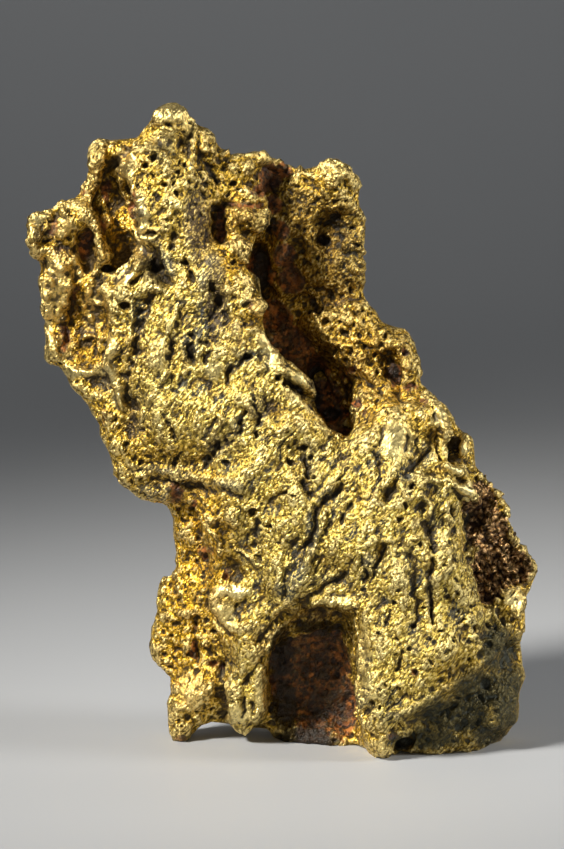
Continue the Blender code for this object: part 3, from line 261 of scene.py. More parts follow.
# Round knobs: (across, up, radius, height).
KNOBS = (
    (64, 131, 1, -1.4), (74.5, 123, 1.2, 1.2), (74.5, 112.5, 1.4, 1.8), (76, 110, 1.4, 1.8),
    (78.5, 107.5, 1.4, 1.8), (81, 104.5, 1.3, 1.8), (83.5, 102, 1.3, 1.8), (86, 100, 1.3, 1.8),
    (87, 96.5, 1.3, 1.8), (88.5, 92.5, 1.3, 1.8), (88, 88.5, 1.2, 1.8), (90.5, 84.5, 1.4, 2),
    (92.5, 80.5, 1.2, 1.8), (95, 78.5, 1.3, 1.8), (96.5, 74.5, 1.4, 1.8), (99.5, 72, 1.4, 1.8),
    (98, 68.5, 1.2, 1.6), (85.5, 91, 1.2, 1.4), (83, 95, 1.2, 1.4), (86.5, 83, 1.2, 1.4),
    (82.5, 87.5, 1.2, 1.4), (77.5, 102, 1.2, 1.4), (79.5, 99, 1.2, 1.2), (89.5, 78, 1.2, 1.2),
    (97, 62.5, 1.4, 1.2), (95, 45, 1.2, 1), (-72, 232.5, 1.6, 1), (-73.5, 231.5, 1.6, 1), (-66, 239, 2, 1),
    (-62, 237.5, 1.6, 1), (-95, 209.5, 2.4, 1.2), (-85.5, 213, 2, 1.2), (-86, 191.5, 2, 1.4),
    (-89, 185, 2, 1.4), (-85.5, 178.5, 2.4, 1.4), (-90, 190, 1.6, 1.2), (-83.5, 184.5, 1.6, 1.2),
    (-76, 182, 2, 1.4), (-73, 189, 2.2, 1.6), (-75, 171, 2, 1.8), (-77.5, 164.5, 2, 1.8),
    (-81, 160.5, 1.6, 1.4), (-72, 177, 1.8, 1.4), (-72, 169.5, 1.6, 1.2), (-77.5, 176.5, 1.6, 1.2),
    (-70, 163, 1.6, 1.2), (-68.5, 134.5, 1.6, 1.4), (-66, 128.5, 1.6, 1.4), (-54.5, 183.5, 2, 1.4),
    (-51.5, 187.5, 1.6, 1.4), (-15.5, 2.5, 1.6, 1.2), (-41, 2.5, 1.6, 1), (49, 1.5, 1.6, 1),
    (27, 214, 2, 1.6), (30, 211.5, 1.6, 1.4), (31, 206.5, 1.6, 1.4), (29, 202.5, 1.6, 1.4),
    (25, 199, 1.8, 1.6), (31, 198, 1.6, 1.4), (27, 193.5, 1.6, 1.2), (31, 193.5, 1.4, 1.4),
    (29.5, 190, 1.6, 1.4), (31.5, 186, 1.4, 1.2), (28.5, 184.5, 1.6, 1.2), (25.5, 209.5, 1.4, 1.2),
    (22.5, 193.5, 1.4, 1.2), (7, 230.5, 2, 1), (-8, 234.5, 2, 1), (-12.5, 236, 1.6, 1),
    (-21, 235.5, 1.6, 1), (21, 227, 1.6, 1.2), (24, 222, 1.6, 1.2), (14, 178.5, 1.6, 1.2),
    (10, 172.5, 1.6, 1.4), (21, 172.5, 1.8, 1.4), (26.5, 170, 1.8, 1.4), (30.5, 170, 1.6, 1.2),
    (22, 162, 1.6, 1.2), (29, 163, 1.8, 1.4), (36, 162, 1.8, 1.4), (32, 156.5, 1.8, 1.4),
    (37.5, 159, 1.6, 1.2), (41, 160, 1.6, 1.4), (31.5, 152, 1.8, 1.2), (25, 146.5, 1.8, 1.6),
    (26.5, 144.5, 1.4, 1.2), (34, 140.5, 1.8, 1.4), (25, 138.5, 1.6, 1.6), (41, 144, 1.6, 1.6),
    (40, 150, 1.6, 1.6), (48.5, 152.5, 1.8, 1.8), (48, 142.5, 1.6, 1.6), (35, 171.5, 1.6, 1.2),
    (40.5, 167, 1.6, 1.2), (46.5, 162, 1.6, 1.2), (56, 140.5, 2, 1.6), (49.5, 138.5, 1.6, 1.4),
    (37.5, 144.5, 1.6, 1.2), (-10, 175.5, 2, 1.6), (-12.5, 182.5, 1.6, 1.4), (-15, 186.5, 1.6, 1.4),
    (-18, 190, 1.6, 1.4), (-13.5, 190.5, 1.4, 1.2), (-8, 209.5, 2, 1.4), (-12.5, 212, 1.6, 1.2),
    (-17, 213, 1.6, 1.2), (-19.5, 198.5, 1.8, 1.4), (-14, 200.5, 1.6, 1.4), (-16.5, 194.5, 1.6, 1.2),
    (-14, 231, 1.8, 1.2), (-20, 230.5, 1.8, 1.2), (-11.5, 225.5, 1.6, 1.2), (-17, 225, 1.4, 1.2),
    (-6, 214, 1.8, 1.4), (-10, 215.5, 1.6, 1.2), (2.5, 229, 1.6, 1.2), (5.5, 224, 1.6, 1.2),
    (11, 227, 1.6, 1.2), (15.5, 222, 1.6, 1.2), (9.5, 215.5, 1.6, 1), (11, 142.5, 1.6, 1.6),
    (-8, 152.5, 2.4, 1.4), (-4.5, 156.5, 2, 1.2), (-13.5, 76.5, 1.6, 1), (53, 83.5, 2, 1.4),
    (-38, 150, 2, 1.2), (-45, 33.5, 2.4, 1.4), (-39, 41, 2.4, 1.2), (-46, 52, 2.4, 1.4),
    (-38.5, 53.5, 2, 1.2), (-32.5, 58.5, 2.4, 1.2), (-40, 62.5, 2, 1.2), (-30.5, 40.5, 2, 1.2),
    (-24, 36, 2, 1.2), (-33.5, 70.5, 2, 1.2), (-39, 78, 2, 1.2), (-27.5, 91, 2, 1.2), (-36.5, 90, 2.4, 1.2),
    (-30, 62.5, 2, 1.2), (-41.5, 21.5, 2.4, 1.2), (-32, 19, 2.4, 1.2), (-34.5, 10.5, 2.4, 1.2),
    (-28, 24, 1.8, 1), (-41, 14.5, 2, 1), (72, 14.5, 1.4, 1.2), (75.5, 10, 1.4, 1.2), (67.5, 6.5, 1.4, 1.2),
    (82, 14, 1.4, 1.2), (78.5, 20.5, 1.4, 1.2), (85, 17, 1.4, 1.2), (63.5, 9, 1.4, 1), (59.5, 5, 1.4, 1),
    (70, 1.5, 1.4, 1.2), (77, 4, 1.4, 1.2), (51.5, 5, 1.4, 1.2),
)

# Where the skin is the smooth one of the front plate: (across, up, half width, half height, how strong).
PLATE_SKIN = (
    (-45, 222, 18, 28, 0.5), (-42, 179, 30, 28, 0.8), (-24, 143, 43, 28, 1), (7, 111, 51, 24, 1),
    (47, 99, 35, 32, 1), (19, 79, 43, 28, 1), (59, 58, 32, 32, 1), (-13, 75, 24, 35, 0.9),
    (47, 25, 18, 24, 1), (-17, 21, 12, 24, 0.8),
)

# Rust in the round: (across, back, up, radius).
RUST = (
    (-2, 26, 168, 10), (2, 24, 160, 9), (8, 23, 152, 9), (13, 25, 146, 8), (17, 28, 136, 10),
    (21, 26, 128, 8), (-7, 27, 188, 9), (-1, 17, 204, 5), (1, 18, 194, 6), (4, 21, 184, 7),
    (-5, 18, 225, 7), (1, 21, 228, 4), (-4, 19, 214, 5), (11, 3, 38, 12), (20, 4, 34, 12), (15, 6, 26, 13),
    (22, 4, 18, 12), (10, 5, 18, 10), (24, 0, 8, 8), (1, 6, 34, 9), (0, 7, 22, 9), (2, 7, 10, 9),
    (14, 2, 4, 12), (24, 6, 44, 8), (6, 5, 46, 8),
)

# The sunken reddish face in the round: (across, back, up, radius).
RED = (
    (78, -9, 100, 10), (82, -7, 88, 11), (84, -6, 74, 13), (92, -2, 72, 9), (80, -8, 64, 8),
)

# Beads fused on, in the round: (across, back, up, radius).
BEADS = (
    (58, -11, 139, 2.4), (60, -11, 137.5, 2.4), (62, -13, 135, 2.4), (63, -14, 132, 2.4),
    (64, -16, 129, 2.2), (70, -10, 121, 3.1), (71.5, -8, 125, 2.3), (64, -21, 116.5, 2.1),
    (66, -20, 115, 2.1), (68, -19, 114.5, 2.1), (70, -17, 115, 2), (66.5, -22, 111, 1.8),
    (68.5, -20, 108.5, 2), (70.5, -18, 106.5, 2.6), (72.5, -17, 104.5, 2.8), (74.5, -15, 102.5, 2.2),
    (77, -5, 110, 2), (79, -3, 107, 1.9), (81, -2, 104.5, 1.8), (84, -1, 101.5, 2), (86, -1, 98.5, 2),
    (88, -1, 95, 2.2), (87.5, -3, 91, 1.9), (89.5, -1, 87, 2.1), (92, 0, 83, 2.1), (94.5, 1, 79, 2.2),
    (97, 0, 75.5, 2.2), (99, -1, 72, 2.4), (97.5, -2, 68, 2), (84, -4, 93, 1.7), (85, -5, 88, 1.7),
    (82, -7, 84, 1.7), (88, -5, 81, 1.8), (92, -4, 76, 1.8), (87, -7, 77, 1.8), (83, -5, 98, 1.7),
    (80, -6, 102, 1.7), (79, -9, 90, 1.8), (81, -8, 95, 1.6), (75, -10.5, 78, 1.4), (76.5, -10, 75, 1.4),
    (78, -10, 72, 1.4), (79.5, -10, 69, 1.4), (81, -10, 66, 1.4), (82.5, -10, 63, 1.4), (80, -9, 79, 1.4),
    (82, -8.5, 76, 1.4), (84, -8.5, 73, 1.4), (86, -9, 70, 1.4), (88, -9.5, 67, 1.4),
    (89.5, -10.5, 64, 1.4), (85, -6.5, 80, 1.4), (87, -6.5, 77, 1.4), (89, -6, 74, 1.4),
    (91, -5.5, 71, 1.4), (92.5, -6, 68, 1.4),
)

# Stains, tones, painted shade, and rubbed places with painted highlights on the sheet: (across, up, half
# width, half height, how strong).
RUST_SPOTS = (
    (-68, 222, 2, 6, 0.8), (-58, 216, 2, 6, 0.7), (-70, 209, 2, 6, 0.6), (-64, 204, 2, 3, 0.4),
    (-77, 200, 3, 7, 0.9), (-89, 207, 2, 5, 0.6), (-78, 221, 3, 2, 0.6), (-87, 198, 6, 2, 0.4),
    (-81, 179, 2, 9, 0.5), (-85, 164, 2, 6, 0.9), (-81, 157, 4, 2, 0.4), (-70, 133, 2, 4, 0.5),
    (-42, 102, 3, 5, 0.7), (-24, 209, 2, 8, 1), (-14, 216, 9, 2, 0.6), (-8, 222, 5, 3, 0.8),
    (-3, 229, 5, 2, 0.7), (-30, 78, 4, 3, 0.7), (-35, 97, 2, 2, 0.8), (-40, 95, 2, 1, 0.6),
    (-22, 69, 2, 4, 0.6), (-35, 38, 2, 4, 0.9), (-34, 47, 2, 2, 0.6), (-28, 32, 3, 2, 0.6),
    (-24, 31, 2, 2, 0.7), (-47, 35, 3, 2, 0.4), (-40, 71, 2, 2, 0.4), (-41, 1, 3, 2, 0.6),
    (-12, 178, 2, 3, 0.6), (44, 149, 3, 6, 0.9), (48, 158, 2, 2, 0.8), (51, 144, 3, 3, 0.7),
    (56, 139, 2, 2, 0.9), (29, 138, 2, 2, 0.9), (28, 151, 2, 2, 0.7), (33, 134, 2, 2, 0.6),
    (24, 127, 4, 2, 0.9), (37, 157, 9, 3, 0.2), (44, 2, 3, 2, 0.8), (53, 29, 2, 2, 0.6), (22, 1, 5, 3, 0.5),
    (7, 161, 6, 6, 0.9), (0, 163, 6, 6, 0.7), (25, 150, 4, 4, 0.6),
)

# Near-black painted shade deep in the arch, the crevice and the other recesses.
RECESS_SHADE = (
    (14, 21, 17, 28, 0.6), (0, 36, 6, 13, 1), (1, 15, 7, 13, 1), (9, 1, 16, 6, 1), (14, 47, 13, 4, 0.9),
    (19, 38, 3, 4, 0.6), (26, 21, 2, 8, 0.6), (10, 21, 4, 3, 0.6), (-8, 191, 4, 12, 1), (14, 148, 4, 6, 1),
    (13, 138, 3, 5, 1), (20, 134, 5, 3, 1), (-5, 208, 3, 5, 0.8), (6, 143, 4, 2, 0.9),
    (-67, 191, 3, 2, 0.9), (-49, 194, 3, 6, 0.8), (-35, 159, 2, 4, 0.9), (68, 119, 2, 3, 0.9),
    (44, 149, 2, 5, 0.8), (21, 209, 4, 3, 0.7), (17, 202, 3, 3, 0.7), (23, 203, 2, 2, 0.7),
    (80, 91, 2, 8, 0.7), (51, 105, 2, 2, 0.8), (-25, 185, 2, 4, 0.3),
)

# Brown with painted shade over it, where the set-back wall and the far side of the upper plate lie in
# shadow.
BROWN_AND_SHADE = (
    (-31, 208, 5, 20, 0.4), (-23, 179, 6, 16, 0.3), (35, 158, 20, 20, 0.5), (-32, 207, 6, 17, 0.8),
    (-26, 180, 5, 16, 0.7), (-17, 161, 6, 6, 0.5), (-38, 158, 6, 5, 0.4), (-7, 135, 9, 6, 0.4),
    (-52, 194, 6, 6, 0.5), (-60, 131, 4, 10, 0.3), (-25, 120, 6, 4, 0.4), (7, 109, 4, 9, 0.4),
    (59, 75, 3, 20, 0.3), (19, 202, 13, 18, 1), (17, 185, 17, 13, 1), (5, 209, 10, 17, 1),
    (1, 185, 9, 14, 0.8), (19, 159, 6, 10, 0.6), (25, 145, 5, 7, 0.6), (7, 167, 9, 9, 0.7),
    (-4, 225, 9, 7, 0.8), (-22, 212, 5, 9, 0.7), (-14, 217, 12, 2, 0.5), (-68, 221, 2, 5, 0.3),
    (-58, 216, 2, 7, 0.4), (-16, 212, 9, 10, 0.4), (-70, 206, 2, 8, 0.4), (-76, 200, 3, 9, 0.7),
    (-89, 206, 3, 7, 0.6), (-30, 78, 5, 3, 0.4), (15, 53, 13, 4, 0.9), (81, 75, 9, 20, 0.4),
    (-83, 167, 2, 9, 0.2), (-41, 104, 6, 4, 0.5), (13, 179, 10, 8, 0.5),
)

WARM = (
    (-87, 185, 20, 35, 1), (-61, 202, 8, 10, 1), (-63, 233, 16, 12, 0.7), (-67, 212, 10, 16, 0.8),
    (-35, 75, 18, 43, 1), (-41, 34, 16, 32, 1), (19, 206, 24, 32, 0.5), (35, 159, 24, 24, 0.8),
    (3, 218, 20, 20, 0.6), (-16, 200, 12, 24, 0.9), (-10, 177, 3, 6, 1),
)

# Slate-grey painted shade on the plate's shaded slopes and hollows.
SLATE_SHADE = (
    (-36, 161, 5, 6, 0.9), (-46, 191, 6, 7, 0.8), (-8, 136, 6, 5, 0.6), (-13, 157, 5, 3, 0.9),
    (-27, 174, 7, 12, 1), (-30, 166, 7, 4, 0.8), (-35, 159, 2, 6, 0.7), (-22, 177, 2, 11, 0.6),
    (-18, 167, 4, 7, 0.4), (-56, 174, 4, 6, 0.9), (-58, 159, 2, 8, 0.7), (-61, 142, 2, 5, 0.7),
    (-58, 129, 4, 8, 0.6), (-52, 194, 5, 7, 0.6), (-49, 201, 3, 4, 0.5), (-33, 208, 6, 17, 0.9),
    (-28, 189, 6, 9, 0.9), (-14, 156, 4, 3, 0.8), (-20, 152, 3, 3, 0.7), (-17, 130, 3, 4, 0.9),
    (-26, 120, 5, 4, 0.9), (-8, 137, 5, 6, 0.5), (-46, 111, 16, 3, 0.6), (-48, 103, 15, 5, 0.7),
    (-23, 104, 11, 3, 0.6), (-70, 146, 4, 6, 0.7), (-86, 169, 2, 5, 0.7), (-93, 204, 4, 3, 0.7),
    (-87, 198, 6, 2, 0.6), (-71, 187, 3, 4, 0.5), (-64, 159, 4, 3, 0.5), (11, 115, 5, 9, 0.5),
    (25, 117, 4, 8, 0.4), (19, 100, 6, 4, 0.8), (12, 87, 3, 10, 1), (6, 70, 4, 7, 0.9), (1, 62, 5, 4, 0.9),
    (-8, 45, 5, 5, 0.5), (19, 66, 8, 3, 0.7), (36, 73, 5, 6, 0.7), (47, 77, 8, 6, 0.4),
    (59, 62, 2, 13, 0.7), (52, 69, 3, 11, 0.3), (59, 87, 2, 7, 0.6), (57, 117, 3, 6, 1),
    (49, 110, 4, 4, 0.9), (43, 102, 3, 3, 0.7), (74, 89, 3, 13, 1), (37, 58, 4, 5, 0.4),
    (53, 42, 4, 6, 0.5), (-10, 87, 2, 5, 0.7), (33, 17, 4, 5, 0.5), (43, 10, 7, 3, 0.5),
    (79, 49, 5, 6, 0.3), (13, 52, 6, 3, 0.8),
)

# Painted shade on the lower right foot, which faces away from the lamps, and on parts of the set-back wall.
PAINTED_SHADE = (
    (86, 38, 9, 13, 1), (81, 21, 17, 11, 1), (70, 11, 20, 10, 1), (84, 3, 12, 7, 1), (91, 17, 9, 20, 1),
    (60, 1, 16, 6, 1), (48, 0, 7, 4, 0.9), (25, 198, 6, 16, 0.4), (12, 219, 13, 6, 0.3),
    (-47, 237, 8, 4, 0.5),
)

# Rubbed places, smoothed in the relief, made paler by wear and by painted highlights on the lips, knobs and
# crests.
WORN_AND_HIGHLIT = (
    (-88, 185, 6, 16, 0.6), (-73, 179, 5, 8, 0.6), (-86, 208, 6, 6, 0.6), (-86, 159, 5, 6, 0.6),
    (-79, 194, 4, 9, 0.6), (-61, 232, 5, 7, 0.9), (-55, 208, 3, 16, 0.9), (-62, 188, 6, 4, 0.8),
    (-95, 209, 3, 4, 0.9), (-95, 198, 4, 2, 0.6), (-79, 216, 6, 2, 0.6), (-71, 202, 2, 9, 0.3),
    (-88, 191, 5, 6, 0.7), (-91, 169, 2, 13, 0.8), (-79, 150, 9, 3, 0.9), (-67, 159, 2, 8, 0.8),
    (-68, 149, 4, 6, 0.9), (-64, 140, 3, 5, 0.8), (-36, 247, 3, 13, 0.6), (-43, 252, 8, 5, 0.8),
    (-46, 241, 6, 5, 0.6), (-5, 159, 4, 9, 0.9), (7, 147, 6, 3, 0.9), (19, 127, 3, 4, 0.6),
    (-20, 62, 9, 3, 0.9), (-23, 52, 5, 7, 0.7), (-18, 11, 6, 4, 0.9), (-37, 21, 6, 11, 0.5),
    (-8, 17, 3, 8, 0.6), (45, 123, 8, 10, 0.8), (62, 132, 4, 5, 1), (71, 121, 3, 4, 1), (68, 111, 4, 2, 1),
    (73, 103, 4, 4, 1), (92, 58, 4, 4, 1), (-27, 151, 4, 4, 0.7), (-18, 158, 3, 2, 0.6),
    (-57, 111, 8, 2, 0.4), (-13, 183, 3, 6, 0.6), (19, 230, 7, 4, 0.3), (39, -2, 5, 4, 0.4),
    (33, 34, 3, 20, 0.6), (-75, 169, 4, 7, 0.6), (46, 161, 6, 4, 0.2), (23, 58, 9, 2, 0.6),
    (-48, 157, 6, 8, 0.3), (-51, 137, 4, 12, 0.3),
)

# Which way the fine streaks run on the sheet, and how far that leans from upright.
FLOW = (-0.55, -0.83)
LEAN = math.atan2(0.55, 0.83)

# How high each worked form stands, beside the height given with its mark.
SWELL_ON_PLATE = 0.35
GROOVE_DEPTH = 1.2
PIT_RIM = 0.16

# Grain of the skin: (height, size, seed). The porous grain fades out on the front plate.
EVEN_GRAIN = ((0.7, 9.0, 5), (0.18, 2.3, 7), (0.2, 1.5, 9))
POROUS_GRAIN = (0.4, 4.1, 14)
PILLOWS = (0.25, 5.2, 6)
SPONGE = (0.55, 4.2, 1)
PLATE_SWELL = (0.9, 16.0, 17)
STREAK_LENGTH = 8.0
STREAK_WIDTH = 2.7
STREAK_BEND = 1.2

# Round pits dropped at random: (how many, least radius, greatest radius, seed, depth, share on the plate).
LOOSE_PITS = ((900, 1.2, 2.8, 11, 0.6, 0.05), (4500, 0.8, 1.5, 12, 0.7, 0.2))

# How many rounds of easing tell the small hollows from the skin, and the broad hollows from those.
FINE_ROUNDS = 12
BROAD_ROUNDS = 80

# Tones of the metal and of what lies on it, and the colours of painted shade and painted highlights.
PALE_GOLD = (0.74, 0.55, 0.13)
YELLOW_GOLD = (0.72, 0.51, 0.08)
WARM_GOLD = (0.78, 0.45, 0.033)
# Painted shade in the broad hollows, worn crests with painted highlight, and painted glints on the reddish
# beads.
HOLLOW_SHADE_GOLD = (0.24, 0.125, 0.013)
WORN_HIGHLIGHT_GOLD = (0.91, 0.775, 0.385)
RED_GLINT_GOLD = (0.90, 0.55, 0.24)
# Painted shade on the foot, in streaks and creases, on the set-back places and in the grain's low spots;
# dirt and painted shade in the pits.
PAINTED_SHADE_GOLD = (0.038, 0.042, 0.03)
SLATE_SHADE_GREY = (0.05, 0.057, 0.052)
BROWN_SHADE_COLOUR = (0.12, 0.065, 0.015)
GRAIN_SHADE_BROWN = (0.13, 0.077, 0.010)
PIT_BROWN = (0.016, 0.011, 0.006)
RUST_DARK = (0.03, 0.010, 0.005)
RUST_BRIGHT = (0.42, 0.14, 0.024)

# Sizes of the patterns in the metal.
MOTTLE = 9 * MM
SPECKLE = 2.2 * MM
CRUMB = 0.9 * MM
CRUMB_CELL = 1.3 * MM
PORE = 1.7 * MM
# Size of the streaks of painted shade on the plate.
SHADE_STREAK = 6 * MM
STAIN_EDGE = 3.5 * MM
BACK_STAIN = 22 * MM
RED_BEAD = 2.4 * MM
FINE_GRAIN = 0.55 * MM
COARSE_DEPTH = 1.4 * MM
FINE_DEPTH = 0.09 * MM

# The studio, in metres: (name, place, target, size, watts, colour, spread in degrees) for each lamp.
LAMPS = (
    ("key", (-1.21, -0.74, 1.27), (0, 0, 0.13), 0.36, 2.45, (1.0, 0.97, 0.92), 32),
    ("fill", (0.14, -1.57, 0.41), (0, 0, 0.12), 0.6, 0.15, (0.92, 0.96, 1.0), 32),
    ("rim", (1.1, -0.15, 0.5), (0, 0, 0.13), 0.3, 1.2, (1, 1, 1), 60),
    ("back_wash", (0.0, 0.9, 2.4), (0, 3.0, 1.0), 1.5, 16.0, (1, 1, 1), 180),
)
CAMERA_PLACE = (-0.00101, -1.13459, 0.329)
CAMERA_TARGET = (-0.00101, -0.00206, 0.1293)
LENS = 123.77
SENSOR = 36.0
FARTHEST = 60.0
SKY = (0.9, 0.95, 1.0, 1)
SKY_STRENGTH = 0.03
FLOOR_WIDTH = 8.0
FLOOR_LENGTH = 6.0
FLOOR_RISE = 2.2
FLOOR_ROWS = 48
FLAT_SHARE = 0.62
SWEEP = 2.2
FLOOR_GREY = (0.36, 0.37, 0.38)
FLOOR_PALE = (0.40, 0.405, 0.41)

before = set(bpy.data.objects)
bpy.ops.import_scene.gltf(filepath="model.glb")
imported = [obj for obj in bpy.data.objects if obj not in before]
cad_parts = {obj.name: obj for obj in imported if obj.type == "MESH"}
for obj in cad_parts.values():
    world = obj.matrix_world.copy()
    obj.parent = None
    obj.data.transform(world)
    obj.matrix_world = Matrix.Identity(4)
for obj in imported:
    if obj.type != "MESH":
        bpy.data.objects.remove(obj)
bpy.ops.object.select_all(action="DESELECT")
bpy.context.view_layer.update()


# ---- points and fields -------------------------------------------------------------------------


def read_points(piece):
    """The piece's points, in millimetres, and their normals."""
    places = np.empty(len(piece.data.vertices) * 3)
    normals = np.empty(len(piece.data.vertices) * 3)
    piece.data.vertices.foreach_get("co", places)
    piece.data.vertices.foreach_get("normal", normals)
    return places.reshape(-1, 3) / MM, normals.reshape(-1, 3)


def write_points(piece, places):
    piece.data.vertices.foreach_set("co", (places * MM).ravel())
    piece.data.update()


def step(low, high, value):
    """0 below low, 1 above high, and a soft rise between."""
    t = np.clip((value - low) / (high - low), 0.0, 1.0)
    return t * t * (3 - 2 * t)


def on_sheet(places):
    """Where the eye sees each point on the sheet."""
    p = places + SHEET_MIDDLE
    nearer = EYE_DISTANCE / (EYE_DISTANCE + p[:, 1])
    return np.column_stack((p[:, 0] * nearer, EYE_HEIGHT + (p[:, 2] - EYE_HEIGHT) * nearer))


def facing_eye(places, normals):
    """1 where the skin looks straight at the eye, 0 where it is edge on, and less behind."""
    to_eye = np.array((0.0, -EYE_DISTANCE, EYE_HEIGHT)) - (places + SHEET_MIDDLE)
    to_eye /= np.linalg.norm(to_eye, axis=1)[:, None]
    return (normals * to_eye).sum(1)


def grain(places, size, seed=0.0):
    """Smooth noise from -1 to 1, with lumps of this size."""
    shift = Vector((seed * 7.31, seed * 3.17, seed * 11.9))
    return np.array([noise.noise(Vector(p) / size + shift) for p in places.tolist()])


def creased(places, size, seed=0.0):
    """Pillows of this size with sharp creases between them, lowest in the creases."""
    pillow = np.abs(grain(places, size, seed))
    return 3.0 * pillow - (1 - np.minimum(1.0, 9 * pillow)) - 0.5


def sponge(places, size, seed=0.0):
    """Cells of this size: 0 in the middle of a cell, near 1 on the walls between cells."""
    shift = Vector((seed * 5.3, seed * 9.7, seed * 2.1))
    out = np.empty(len(places))
    for i, p in enumerate(places.tolist()):
        near = noise.voronoi(Vector(p) / size + shift)[0]
        out[i] = near[1] - near[0]
    return 1.0 - np.clip(out * 1.4, 0.0, 1.0)


def to_path(sheet, path):
    """Distance of each point to a bent line on the sheet."""
    path = np.array(path, float)
    best = np.full(len(sheet), 1e9)
    for a, b in zip(path[:-1], path[1:]):
        along = b - a
        t = np.clip(((sheet - a) @ along) / (along @ along), 0.0, 1.0)
        best = np.minimum(best, np.linalg.norm(sheet - a - t[:, None] * along, axis=1))
    return best


def strokes(sheet, lines):
    """Height of soft-sided strokes: (half width, height, path)."""
    height = np.zeros(len(sheet))
    for width, tall, path in lines:
        low = np.min(path, axis=0) - 3 * width
        high = np.max(path, axis=0) + 3 * width
        near = np.nonzero(np.all((sheet > low) & (sheet < high), axis=1))[0]
        if len(near):
            height[near] += tall * np.exp(-((to_path(sheet[near], path) / width) ** 2))
    return height


def dots(sheet, marks, rim=0.0):
    """Height of round dots: (across, up, radius, height), with a low rim round a pit."""
    height = np.zeros(len(sheet))
    for across, up, radius, tall in marks:
        near = np.nonzero(np.all(np.abs(sheet - (across, up)) < 2 * radius, axis=1))[0]
        if len(near):
            q = np.linalg.norm(sheet[near] - (across, up), axis=1) / radius
            inside = np.clip(1 - q * q, 0.0, 1.0) ** 1.3
            height[near] += tall * (inside - rim * np.exp(-(((q - 1.15) / 0.3) ** 2)))
    return height


def scattered(places, count, small, large, seed):
    """Round pits dropped at random: 0 outside them, deepest at their middles."""
    random = np.random.default_rng(seed)
    chance = np.full(len(places), 1 / len(places))
    seeds = random.choice(len(places), count, replace=False, p=chance)
    radii = small + (large - small) * random.random(count) ** 3
    tree = kdtree.KDTree(count)
    for i, at in enumerate(seeds):
        tree.insert(places[at], i)
    tree.balance()
    depth = np.zeros(len(places))
    for i, p in enumerate(places.tolist()):
        _, which, far = tree.find(p)
        q = far / radii[which]
        if q < 1:
            depth[i] = (1 - q * q) ** 1.2 * radii[which]
    return depth


def blobs(places, marks):
    """Soft spots in the round: (across, back, up, radius), 1 in the middle and 0 outside."""
    found = np.zeros(len(places))
    for across, back, up, radius in marks:
        far = np.linalg.norm(places + SHEET_MIDDLE - (across, back, up), axis=1) / radius
        found = np.maximum(found, 1 - step(0.55, 1.1, far))
    return found


def patches(sheet, marks):
    """Soft spots on the sheet: (across, up, half width, half height, how strong)."""
    found = np.zeros(len(sheet))
    for across, up, wide, tall, strong in marks:
        far = np.hypot((sheet[:, 0] - across) / wide, (sheet[:, 1] - up) / tall)
        found = np.maximum(found, strong * (1 - step(0.5, 1.25, far)))
    return found


def relaxed(places, edges, rounds):
    """The points after each has moved half way to the middle of its neighbours, some rounds over."""
    count = np.bincount(edges.ravel(), minlength=len(places))[:, None]
    for _ in range(rounds):
        total = np.zeros_like(places)
        for axis in range(3):
            total[:, axis] = np.bincount(
                edges.ravel(), places[edges[:, ::-1].ravel(), axis], len(places)
            )
        places = 0.5 * places + 0.5 * total / count
    return places


def edges_of(piece):
    edges = np.empty(len(piece.data.edges) * 2, int)
    piece.data.edges.foreach_get("vertices", edges)
    return edges.reshape(-1, 2)


def keep_field(piece, name, values):
    piece.data.attributes.new(name, "FLOAT", "POINT").data.foreach_set("value", values)


# ---- the skin ----------------------------------------------------------------------------------


def modify(piece, kind, **settings):
    """Put a modifier on the piece and apply it."""
    bpy.context.view_layer.objects.active = piece
    modifier = piece.modifiers.new(kind, kind)
    for name, value in settings.items():
        setattr(modifier, name, value)
    bpy.ops.object.modifier_apply(modifier=modifier.name)


def copy_of_solid(node):
    """A copy of the solid with its loose triangles sewn together."""
    piece = bpy.data.objects.new("nugget_skin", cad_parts[node].data.copy())
    bpy.context.scene.collection.objects.link(piece)
    piece.data.materials.clear()
    modify(piece, "WELD", merge_threshold=SEWING_REACH)
    return piece


def add_beads(piece, marks):
    """Small balls of metal stuck on the skin: (across, back, up, radius)."""
    dressed = bmesh.new()
    dressed.from_mesh(piece.data)
    for across, back, up, radius in marks:
        place = Matrix.Translation((Vector((across, back, up)) - Vector(SHEET_MIDDLE)) * MM)
        bmesh.ops.create_icosphere(dressed, subdivisions=3, radius=radius * MM, matrix=place)
    dressed.to_mesh(piece.data)
    dressed.free()


def fuse(piece, easing):
    """One even, closed skin round all of the piece, eased by some rounds of smoothing."""
    modify(piece, "REMESH", mode="VOXEL", voxel_size=VOXEL, adaptivity=0.0)
    modify(piece, "SMOOTH", factor=0.5, iterations=easing)


def shaken(sheet, places):
    """The sheet places, pushed about a little so that no worked line runs straight."""
    slow = np.column_stack((grain(places, 5.0, 1), grain(places, 5.0, 2)))
    quick = np.column_stack((grain(places, 1.8, 3), grain(places, 1.8, 4)))
    return sheet + 1.5 * slow + 0.7 * quick


def broken_up(places):
    """How strongly a crease or ridge shows from place to place, so that none runs on evenly."""
    return 0.55 + 0.9 * step(-0.3, 0.3, grain(places, 3.1, 15))


